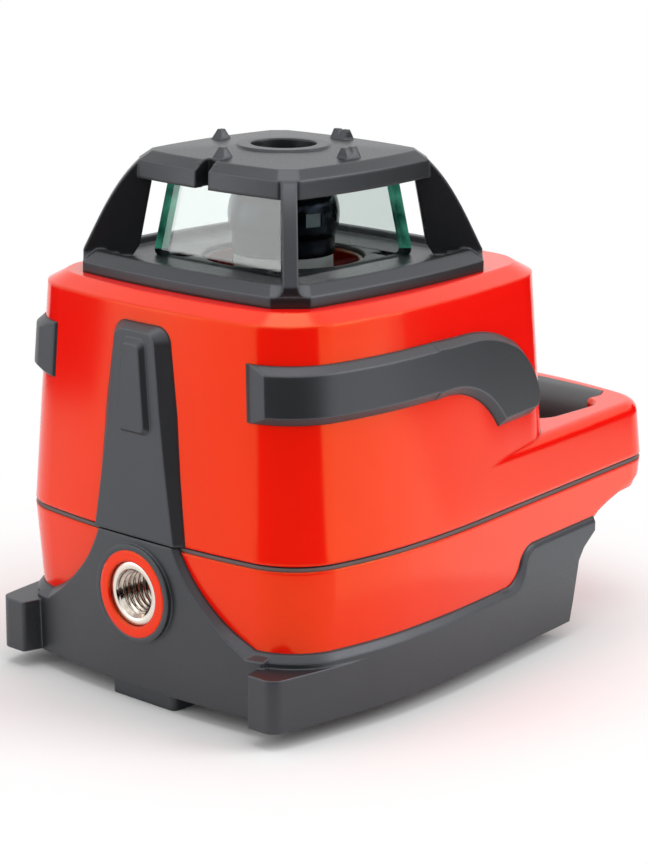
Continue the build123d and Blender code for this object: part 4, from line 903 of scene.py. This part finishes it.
@dataclass
class Threads:
    """Two steel inserts with the 5/8-11 thread of a survey tripod, in millimetres.

    Attributes:
        pitch: Step of the thread.
        minor: Radius of the crests.
        major: Radius of the valleys.
        crest: Width of a crest's flat, as a share of the pitch.
        valley: Width of a valley's flat, as a share of the pitch.
        mouth: Radius of the countersink at both ends.
        bevel: Bevel of the insert's outer edges.
        steps: Points round the thread.
        levels: Points along the thread.
    """

    pitch: float = 25.4 / 11
    minor: float = 6.85
    major: float = 7.94
    crest: float = 0.125
    valley: float = 0.25
    mouth: float = 8.5
    bevel: float = 0.35
    steps: int = 112
    levels: int = 129

    def build(self) -> None:
        """Makes the side insert and the base insert."""
        tree = self._tree()
        low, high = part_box("side_insert")
        axis = Matrix.Translation((low.x, (low.y + high.y) / 2, (low.z + high.z) / 2))
        sideways = axis @ Matrix.Rotation(math.pi / 2, 4, "Y")
        self._insert(tree, "side_insert", sideways, high.x - low.x, (high.y - low.y) / 2, TURNED_STEEL_X)
        low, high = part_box("base_insert")
        upright = Matrix.Translation(((low.x + high.x) / 2, (low.y + high.y) / 2, low.z))
        self._insert(tree, "base_insert", upright, high.z - low.z, (high.y - low.y) / 2, TURNED_STEEL_Z)

    def _insert(
        self, tree: bpy.types.NodeTree, node: str, place: Matrix, length: float, reach: float, finish: Finish
    ) -> None:
        """Makes one insert: a threaded bore inside a bevelled sleeve.

        Args:
            tree: Node tree of the bore.
            node: Part that the insert stands for.
            place: Takes the mouth's frame, with the bore along +Z, to the frame of the parts.
            length: Length of the insert in metres.
            reach: Outer radius in metres.
            finish: Finish of the steel.
        """
        values: dict[str, object] = {
            "Minor Radius": self.minor * MM,
            "Major Radius": self.major * MM,
            "Mouth Radius": self.mouth * MM,
            "Pitch": self.pitch * MM,
            "Length": length,
            "Steel": TAPPED_STEEL.material(),
        }
        piece = grown(node.replace("insert", "thread"), tree, values)
        long, wide = length / MM, reach / MM
        sleeve = stacked(
            (
                Ring(0, self.mouth),
                Ring(0, wide - self.bevel),
                Ring(self.bevel, wide),
                Ring(long - self.bevel, wide),
                Ring(long, wide - self.bevel),
                Ring(long, self.mouth),
            ),
            closed=False,
            steps=self.steps,
        )
        lathed = len(sleeve.faces)
        sleeve.from_mesh(piece.data)
        sleeve.faces.ensure_lookup_table()
        for face in sleeve.faces[lathed:]:
            face.material_index = 1
        sleeve.transform(place)
        piece.data = mesh_of(sleeve, piece.name, sharp=50)
        piece.data.materials.append(finish.material())
        piece.data.materials.append(TAPPED_STEEL.material())
        settle(piece, finish, node)

    def _steps(self) -> tuple[tuple[str | float, ...], ...]:
        """Lists the steps from a point of the flat grid to its place on the thread.

        Returns:
            For each step its result's name, its operation, and the names or numbers that it takes.
        """
        return (
            ("middle", "MULTIPLY", "Length", 0.5),
            ("depth", "ADD", "along", "middle"),
            ("laps", "DIVIDE", "depth", "Pitch"),
            ("part lap", "DIVIDE", "angle", 2 * math.pi),
            ("turns", "SUBTRACT", "laps", "part lap"),
            ("within", "FRACT", "turns"),
            ("doubled", "MULTIPLY", "within", 2.0),
            ("signed", "SUBTRACT", "doubled", 1.0),
            ("flank", "ABSOLUTE", "signed"),
            ("past crest", "SUBTRACT", "flank", self.crest),
            ("slope", "DIVIDE", "past crest", 1 - self.valley - self.crest),
            ("capped", "MINIMUM", "slope", 1.0),
            ("share", "MAXIMUM", "capped", 0.0),
            ("tooth", "SUBTRACT", "Major Radius", "Minor Radius"),
            ("thread", "MULTIPLY_ADD", "share", "tooth", "Minor Radius"),
            ("beyond", "SUBTRACT", "Length", "depth"),
            ("nearer end", "MINIMUM", "depth", "beyond"),
            ("countersink", "SUBTRACT", "Mouth Radius", "nearer end"),
            ("radius", "MAXIMUM", "thread", "countersink"),
            ("cosine", "COSINE", "angle"),
            ("sine", "SINE", "angle"),
            ("x", "MULTIPLY", "radius", "cosine"),
            ("y", "MULTIPLY", "radius", "sine"),
        )

    def _tree(self) -> bpy.types.NodeTree:
        """Builds the node tree that winds a flat grid into a threaded bore.

        Returns:
            The tree, with the bore's mouth at the origin and its depth along +Z.
        """
        sizes = ("Minor Radius", "Major Radius", "Mouth Radius", "Pitch", "Length")
        tree = new_tree("threaded bore", {**dict.fromkeys(sizes, "Float"), "Steel": "Material"})
        given = add_node(tree, "NodeGroupInput").outputs
        sheet = add_node(
            tree,
            "GeometryNodeMeshGrid",
            {"Size X": 2 * math.pi, "Vertices X": self.steps + 1, "Vertices Y": self.levels},
            {"Size Y": given["Length"]},
        )
        spot = add_node(
            tree, "ShaderNodeSeparateXYZ", links={0: add_node(tree, "GeometryNodeInputPosition").outputs[0]}
        )
        known = {size: given[size] for size in sizes}
        known |= {"angle": spot.outputs["X"], "along": spot.outputs["Y"]}
        for result, operation, *terms in self._steps():
            fixed = {i: term for i, term in enumerate(terms) if not isinstance(term, str)}
            linked = {i: known[term] for i, term in enumerate(terms) if isinstance(term, str)}
            step = add_node(tree, "ShaderNodeMath", {"operation": operation, **fixed}, linked)
            known[result] = step.outputs[0]
        wound = add_node(
            tree, "ShaderNodeCombineXYZ", links={"X": known["x"], "Y": known["y"], "Z": known["depth"]}
        )
        bore = add_node(
            tree,
            "GeometryNodeSetPosition",
            links={"Geometry": sheet.outputs["Mesh"], "Position": wound.outputs["Vector"]},
        )
        end_tree(tree, bore.outputs["Geometry"], given["Steel"])
        return tree


@dataclass(frozen=True)
class ScrewSet:
    """Equal screws in their seats, in millimetres.

    Attributes:
        node: Part that the set stands for.
        name: Name of the piece.
        spots: Centres of the seats.
        bearing: Height of the face under the head.
        top: Height of the top of the head.
        tip: Height of the screw's tip.
        head: Radius of the head.
        shank: Radius of the shank.
        socket: Half width across the flats of the hexagon socket.
    """

    node: str
    name: str
    spots: tuple[tuple[float, float], ...]
    bearing: float
    top: float
    tip: float
    head: float
    shank: float
    socket: float


@dataclass
class Screws:
    """Socket screws that hold the guard and the lower housing, in millimetres.

    Attributes:
        sets: The sets of screws.
        lead: Length of the tapered tip.
        tip: Radius of the tip as a share of the shank's.
        edge: Radius of the head's round rim.
        edge_middle: How far the middle of that rim lies inside both its ends.
        lip: Bevel round the socket.
        depth: Depth of the socket's six flats.
        floor: Radius of the socket's floor as a share of its half width.
        steps: Points round a screw.
    """

    sets: tuple[ScrewSet, ...] = ()
    lead: float = 0.8
    tip: float = 0.55
    edge: float = 0.5
    edge_middle: float = 0.15
    lip: float = 0.25
    depth: float = 1.2
    floor: float = 0.3
    steps: int = 36

    def build(self) -> None:
        """Makes each set of screws."""
        tree = self._tree()
        for row in self.sets:
            self._screws(tree, row)

    def _screws(self, tree: bpy.types.NodeTree, row: ScrewSet) -> None:
        """Makes one set.

        Args:
            tree: Node tree that puts a screw in each seat.
            row: The set.
        """
        way = 1 if row.top > row.bearing else -1
        rings = (
            Ring(row.tip, row.shank * self.tip),
            Ring(row.tip + way * self.lead, row.shank),
            Ring(row.bearing, row.shank),
            Ring(row.bearing, row.head),
            Ring(row.top - way * self.edge, row.head),
            Ring(row.top - way * self.edge_middle, row.head - self.edge_middle),
            Ring(row.top, row.head - self.edge),
            Ring(row.top, row.socket + self.lip),
            Ring(row.top - way * self.lip, row.socket, sides=6),
            Ring(row.top - way * self.depth, row.socket, sides=6),
            Ring(row.top - way * (self.depth + self.lip), row.socket * self.floor),
        )
        pattern = row.name + "_pattern"
        screw = new_piece(pattern, mesh_of(stacked(rings, steps=self.steps), pattern, sharp=35))
        seats = bpy.data.meshes.new(row.name)
        seats.from_pydata([(x * MM, y * MM, 0) for x, y in row.spots], [], [])
        piece = grown(row.name, tree, {"Screw": screw, "Steel": BLACK_OXIDE.material()}, seats)
        bpy.data.objects.remove(screw)
        settle(piece, BLACK_OXIDE, row.node)

    def _tree(self) -> bpy.types.NodeTree:
        """Builds the node tree that puts a screw on each point of a mesh.

        Returns:
            The tree.
        """
        inputs = {"Seats": "Geometry", "Screw": "Object", "Steel": "Material"}
        tree = new_tree("screws in their seats", inputs)
        given = add_node(tree, "NodeGroupInput").outputs
        screw = add_node(tree, "GeometryNodeObjectInfo", links={"Object": given["Screw"]})
        placed = add_node(
            tree,
            "GeometryNodeInstanceOnPoints",
            links={"Points": given["Seats"], "Instance": screw.outputs["Geometry"]},
        )
        end_tree(tree, placed.outputs["Instances"], given["Steel"])
        return tree


class Mark(Enum):
    """Raised mark on a key: bars and arrow heads as flat outlines in millimetres."""

    SPEED = (((-1.7, -1.1), (-0.1, 0.0), (-1.7, 1.1)), ((0.1, -1.1), (1.7, 0.0), (0.1, 1.1)))
    POWER = (((-0.35, -1.5), (0.35, -1.5), (0.35, 1.5), (-0.35, 1.5)),)
    SCAN = (((-1.9, 0.0), (-0.5, -1.1), (-0.5, 1.1)), ((0.5, -1.1), (1.9, 0.0), (0.5, 1.1)))
    SLOPE_X = (((-1.3, -0.9), (1.3, -0.9), (0.0, 1.3)),)
    SLOPE_Y = (((-1.3, 0.9), (0.0, -1.3), (1.3, 0.9)),)


@dataclass
class Controls:
    """Keypad on the back of the tower, in millimetres.

    Attributes:
        keys: Mark of each key.
        radius: Radius of a key's cap.
        stem: Radius of a key's stem.
        bevel: Bevel at the stem's end.
        crown: Height of the cap's rim above the seat of the keys.
        depth: Length of the stem below that seat.
        dish: Points from the cap's side to its middle: how far below the crown and inside the side.
        mark: How far a mark's foot and its face lie below the crown.
    """

    keys: dict[str, Mark] = field(
        default_factory=lambda: {
            "key_speed": Mark.SPEED,
            "key_power": Mark.POWER,
            "key_scan": Mark.SCAN,
            "key_slope_x": Mark.SLOPE_X,
            "key_slope_y": Mark.SLOPE_Y,
        }
    )
    radius: float = 4.4
    stem: float = 2.0
    bevel: float = 0.3
    crown: float = 2.6
    depth: float = 5.0
    dish: tuple[tuple[float, float], ...] = (
        (1.0, 0.0),
        (0.45, 0.14),
        (0.14, 0.48),
        (0.0, 1.0),
        (0.12, 1.5),
        (0.3, 2.6),
    )
    mark: tuple[float, float] = (0.5, 0.1)

    def build(self) -> None:
        """Dresses the panel and makes its keys."""
        dress({"keypad_panel": PANEL_PC})
        for node, mark in self.keys.items():
            self._key(node, mark)

    def _key(self, node: str, mark: Mark) -> None:
        """Makes one dished key with its mark.

        Args:
            node: Part of the key.
            mark: Its mark.
        """
        name = node + "_cap"
        foot = (
            Ring(-self.depth, self.stem - self.bevel),
            Ring(-self.depth + self.bevel, self.stem),
            Ring(0, self.stem),
            Ring(0, self.radius),
        )
        cap = tuple(Ring(self.crown - drop, self.radius - inside) for drop, inside in self.dish)
        grid = stacked(foot + cap)
        rubber = len(grid.faces)
        for outline in mark.value:
            low, high = (
                [grid.verts.new(Vector((x, y, self.crown - drop)) * MM) for x, y in outline]
                for drop in self.mark
            )
            for i in range(len(outline)):
                j = (i + 1) % len(outline)
                grid.faces.new((low[i], low[j], high[j], high[i]))
            grid.faces.new(low[::-1])
            grid.faces.new(high)
        grid.faces.ensure_lookup_table()
        for face in grid.faces[rubber:]:
            face.material_index = 1
        grid.transform(self._seat(node))
        piece = new_piece(name, mesh_of(grid, name, sharp=40))
        for finish in (KEY_SILICONE, KEY_INK):
            piece.data.materials.append(finish.material())
        settle(piece, KEY_SILICONE, node)

    def _seat(self, node: str) -> Matrix:
        """Finds the frame of a key's seat from its part and the direction it is pressed in.

        Args:
            node: Part of the key.

        Returns:
            The seat's frame, with +Z out of the panel and +Y up.
        """
        part = frame["nodes"][node]
        press = next(j for j in frame["record"]["behaviour"]["joints"] if j["child"] == BODY_OF[node])
        outward = -Vector(press["axis"]).normalized()
        right = Vector((0, 1, 0))
        up = outward.cross(right)
        points = [v.co for v in part.data.vertices]
        tip = max(p.dot(outward) for p in points)
        low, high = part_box(node)
        across = [p.dot(up) for p in points]
        centre = right * ((low.y + high.y) / 2) + up * ((min(across) + max(across)) / 2)
        turned = Matrix((right, up, outward)).transposed().to_4x4()
        return Matrix.Translation(centre + outward * (tip - self.crown * MM)) @ turned


@dataclass
class BatteryBay:
    """Battery box, pack and contacts, with the door and its latch.

    Attributes:
        finishes: Finish of each part.
    """

    finishes: dict[str, Finish] = field(
        default_factory=lambda: {
            "battery_door": GUARD_NYLON,
            "door_latch": RED_ABS,
            "door_pin": PLATED_STEEL,
            "battery_box": INNER_PC,
            "battery_pack": INNER_PC,
            "battery_contacts": TURNED_BRASS,
        }
    )

    def build(self) -> None:
        """Dresses the door and what is behind it."""
        dress(self.finishes)


@dataclass(frozen=True)
class Lamp:
    """A soft box.

    Attributes:
        name: Its name.
        place: Where it stands, in metres.
        size: Width and height in metres.
        glow: How bright its face is, where 1 is as bright as white paper.
    """

    name: str
    place: tuple[float, float, float]
    size: tuple[float, float]
    glow: float


@dataclass(frozen=True)
class Card:
    """A card that only gloss and glass see, bent round the level.

    Attributes:
        name: Its name.
        turns: Where it begins and ends round the rotor axis, in degrees.
        near: Distance from the axis and height of one long edge, in metres.
        far: Distance and height of the other long edge.
        glow: How bright it is, or 0 for black velvet.
        fade: Degrees over which it goes from white at its first end to its own brightness.
    """

    name: str
    turns: tuple[float, float]
    near: tuple[float, float]
    far: tuple[float, float]
    glow: float = 0.0
    fade: float = 0.0


@dataclass
class Studio:
    """Pale floor, soft lamps, cards for the gloss and the camera.

    Attributes:
        azimuth: Direction of the camera in degrees.
        elevation: Height of the camera above the horizon in degrees.
        distance: From the camera to the rotor axis in metres.
        aim: Height on the rotor axis that the camera looks at.
        slide: How far the camera stands to its own right.
        roll: Turn of the camera about its own axis in degrees.
        sensor: Width of the camera's sensor in millimetres.
        lens: Focal length in millimetres.
        shift: Shift of the picture on the sensor.
        clip: Nearest and farthest distance that the camera sees, in metres.
        room: Brightness of the room.
        floor: Half width of the floor in metres.
        shadow: Distances from the rotor axis between which the floor's shadow fades, in metres.
        lit: Point that the soft boxes face.
        lamps: The soft boxes.
        card_steps: Flat faces along a bent card.
        card_white: Brightness of the white end of a card that fades.
        cards: Dark and bright cards that give the gloss its depth.
    """

    azimuth: float = -47.649
    elevation: float = 14.483
    distance: float = 0.942544
    aim: float = 0.08261
    slide: float = 0.01029
    roll: float = 0.396
    sensor: float = 36.0
    lens: float = 112.93
    shift: tuple[float, float] = (0.0137, -0.0052)
    clip: tuple[float, float] = (0.01, 50.0)
    room: float = 0.55
    floor: float = 9.0
    shadow: tuple[float, float] = (0.1, 0.26)
    lit: tuple[float, float, float] = (0.02, 0.0, 0.1)
    lamps: tuple[Lamp, ...] = (
        Lamp("top soft box", (0.0, 0.0, 1.3), (1.1, 1.1), 1.7),
        Lamp("right soft box", (0.75, -1.0, 0.9), (0.8, 0.8), 3.6),
        Lamp("left soft box", (-1.1, 0.5, 0.8), (1.0, 0.9), 1.15),
        Lamp("low soft box", (-0.834, 0.717, 0.12), (0.36, 0.24), 2.3),
    )
    card_steps: int = 9
    card_white: float = 1.2
    cards: tuple[Card, ...] = (
        Card("front card", (-184, -92), (0.2, 0.001), (1.3, 0.001)),
        Card("front screen", (-184, -92), (1.3, 0.0), (1.3, 0.5)),
        Card("left card", (88, 130), (0.55, 0.001), (1.3, 0.001)),
        Card("right card", (-31, 5), (0.55, 0.001), (0.75, 0.001)),
        Card("right screen", (-31, 5), (0.74, 0.0), (0.74, 0.26)),
        Card("raised screen", (-57, -24), (0.4, 0.05), (0.4, 0.125), fade=9.0),
        Card("pane screen", (-60, -31), (0.74, 0.13), (0.74, 0.3)),
        Card("side glow", (-92, -45), (0.15, 0.001), (1.25, 0.001), 1.5),
        Card("tail glow", (-45, -15), (0.15, 0.001), (0.36, 0.001), 1.35),
    )

    def build(self) -> None:
        """Makes the room, the floor, the lamps, the cards and the camera."""
        bpy.context.scene.view_settings.view_transform = "Standard"
        self._world()
        self._floor()
        self._lamps()
        self._cards()
        self._camera()

    def _seen(self, tree: bpy.types.NodeTree) -> bpy.types.NodeSocket:
        """Adds a value that is 1 where the camera, a gloss or a glass looks, and 0 for soft light.

        Args:
            tree: Tree of the world or a material.

        Returns:
            The value.
        """
        path = add_node(tree, "ShaderNodeLightPath").outputs
        seen = path["Is Camera Ray"]
        for ray in ("Is Glossy Ray", "Is Transmission Ray"):
            either = add_node(tree, "ShaderNodeMath", {"operation": "MAXIMUM"}, {0: seen, 1: path[ray]})
            seen = either.outputs[0]
        return seen

    def _world(self) -> None:
        """Fills the room with an even light and a white look."""
        world = bpy.data.worlds.new("studio")
        bpy.context.scene.world = world
        world.use_nodes = True
        tree = world.node_tree
        tree.nodes.clear()
        level = add_node(
            tree,
            "ShaderNodeMath",
            {"operation": "MULTIPLY_ADD", 1: 1 - self.room, 2: self.room},
            {0: self._seen(tree)},
        )
        back = add_node(
            tree, "ShaderNodeBackground", {"Color": linear(WHITE)}, {"Strength": level.outputs[0]}
        )
        add_node(tree, "ShaderNodeOutputWorld", links={"Surface": back.outputs["Background"]})

    def _floor(self) -> None:
        """Lays a wide pale floor that keeps the shadow near the level and is white further out."""
        mesh = bpy.data.meshes.new("floor")
        corners = [(x * self.floor, y * self.floor, 0) for x, y in ((-1, -1), (1, -1), (1, 1), (-1, 1))]
        mesh.from_pydata(corners, [], [(0, 1, 2, 3)])
        floor = new_piece("floor", mesh)
        paper = bpy.data.materials.new("white paper")
        paper.use_nodes = True
        tree = paper.node_tree
        tree.nodes.clear()
        place = add_node(tree, "ShaderNodeTexCoord").outputs["Object"]
        away = add_node(tree, "ShaderNodeVectorMath", {"operation": "LENGTH"}, {0: place})
        fade = add_node(
            tree,
            "ShaderNodeMapRange",
            {"interpolation_type": "SMOOTHSTEP", "From Min": self.shadow[0], "From Max": self.shadow[1]},
            {"Value": away.outputs["Value"]},
        )
        share = add_node(
            tree,
            "ShaderNodeMath",
            {"operation": "MULTIPLY"},
            {0: fade.outputs["Result"], 1: self._seen(tree)},
        )
        matt = add_node(tree, "ShaderNodeBsdfDiffuse", {"Color": linear(PAPER)})
        white = add_node(tree, "ShaderNodeEmission", {"Color": linear(WHITE), "Strength": 1.0})
        mixed = add_node(
            tree,
            "ShaderNodeMixShader",
            links={0: share.outputs[0], 1: matt.outputs["BSDF"], 2: white.outputs["Emission"]},
        )
        add_node(tree, "ShaderNodeOutputMaterial", links={"Surface": mixed.outputs["Shader"]})
        mesh.materials.append(paper)

    def _lamps(self) -> None:
        """Hangs the soft boxes round the level."""
        for row in self.lamps:
            lamp = bpy.data.lights.new(row.name, "AREA")
            lamp.shape = "RECTANGLE"
            lamp.size, lamp.size_y = row.size
            # A face that shines evenly sends out pi times its brightness and area
            lamp.energy = math.pi * row.size[0] * row.size[1] * row.glow
            holder = bpy.data.objects.new(row.name, lamp)
            bpy.context.scene.collection.objects.link(holder)
            holder.location = row.place
            holder.rotation_euler = (Vector(self.lit) - Vector(row.place)).to_track_quat("-Z", "Y").to_euler()
            holder.visible_camera = False

    def _cards(self) -> None:
        """Stands the cards, which the camera and soft light pass through."""
        for row in self.cards:
            start, end = row.turns
            turns = [start + (end - start) * i / self.card_steps for i in range(self.card_steps + 1)]
            spots = [(*edge, turn) for turn in turns for edge in (row.near, row.far)]
            faces = [(2 * i, 2 * i + 1, 2 * i + 3, 2 * i + 2) for i in range(self.card_steps)]
            mesh = bpy.data.meshes.new(row.name)
            mesh.from_pydata([self._polar(*spot) for spot in spots], [], faces)
            if row.fade:
                share = mesh.attributes.new(FADE_SHARE, "FLOAT", "POINT")
                share.data.foreach_set("value", [min(1.0, (spot[2] - start) / row.fade) for spot in spots])
            mesh.materials.append(self._cloth(row))
            card = new_piece(row.name.replace(" ", "_"), mesh)
            card.visible_camera = card.visible_diffuse = card.visible_shadow = False

    def _cloth(self, row: Card) -> bpy.types.Material:
        """Makes a card's black velvet, with the glow that a bright card has.

        Args:
            row: The card.

        Returns:
            The material.
        """
        cloth = bpy.data.materials.new(row.name)
        cloth.use_nodes = True
        tree = cloth.node_tree
        sockets = tree.nodes["Principled BSDF"].inputs
        sockets["Base Color"].default_value = linear(VELVET)
        sockets["Roughness"].default_value = 1.0
        sockets["Specular IOR Level"].default_value = 0.0
        sockets["Emission Color"].default_value = linear(WHITE)
        sockets["Emission Strength"].default_value = row.glow
        if row.fade:
            along = add_node(tree, "ShaderNodeAttribute", {"attribute_name": FADE_SHARE})
            level = add_node(
                tree,
                "ShaderNodeMapRange",
                {"To Min": self.card_white, "To Max": row.glow},
                {"Value": along.outputs["Fac"]},
            )
            tree.links.new(level.outputs["Result"], sockets["Emission Strength"])
        return cloth

    def _polar(self, reach: float, height: float, turn: float) -> tuple[float, float, float]:
        """Finds a point of the studio from its reach and height in metres and its turn in degrees."""
        return (reach * math.cos(math.radians(turn)), reach * math.sin(math.radians(turn)), height)

    def _camera(self) -> None:
        """Stands the camera where the photographer stood."""
        turn, rise, roll = (math.radians(v) for v in (self.azimuth, self.elevation, self.roll))
        back = Vector((math.sin(turn) * math.cos(rise), -math.cos(turn) * math.cos(rise), math.sin(rise)))
        right = Vector((math.cos(turn), math.sin(turn), 0))
        up = back.cross(right)
        right, up = (
            right * math.cos(roll) + up * math.sin(roll),
            up * math.cos(roll) - right * math.sin(roll),
        )
        place = Vector((0, 0, self.aim)) + back * self.distance + right * self.slide
        camera = bpy.data.cameras.new("camera")
        camera.sensor_width = self.sensor
        camera.sensor_fit = "AUTO"
        camera.lens = self.lens
        camera.shift_x, camera.shift_y = self.shift
        camera.clip_start, camera.clip_end = self.clip
        holder = bpy.data.objects.new("camera", camera)
        bpy.context.scene.collection.objects.link(holder)
        turned = Matrix((right, up, back)).transposed().to_4x4()
        holder.matrix_world = Matrix.Translation(place) @ turned
        bpy.context.scene.camera = holder


SCREW_SETS = (
    ScrewSet(
        "guard_screws",
        "guard_bolts",
        ((24.8, 22.5), (24.8, -22.5), (-24.8, 22.5), (-24.8, -22.5)),
        bearing=141.25,
        top=143.05,
        tip=133.25,
        head=2.9,
        shank=1.5,
        socket=1.25,
    ),
    ScrewSet(
        "housing_screws",
        "housing_bolts",
        ((-50, 58), (-50, -58), (62, 57), (62, -57)),
        bearing=14.0,
        top=11.0,
        tip=68.0,
        head=3.0,
        shank=1.65,
        socket=1.4,
    ),
)


def main() -> None:
    """Builds every sub-assembly and the studio round them."""
    logging.basicConfig(level=logging.INFO, format="%(name)s: %(message)s")
    for assembly in (
        Shell(),
        SoftTrim(),
        HeadCage(),
        SpinningHead(),
        Works(),
        Threads(),
        Screws(SCREW_SETS),
        Controls(),
        BatteryBay(),
        Studio(),
    ):
        assembly.build()


if __name__ == "__main__":
    main()
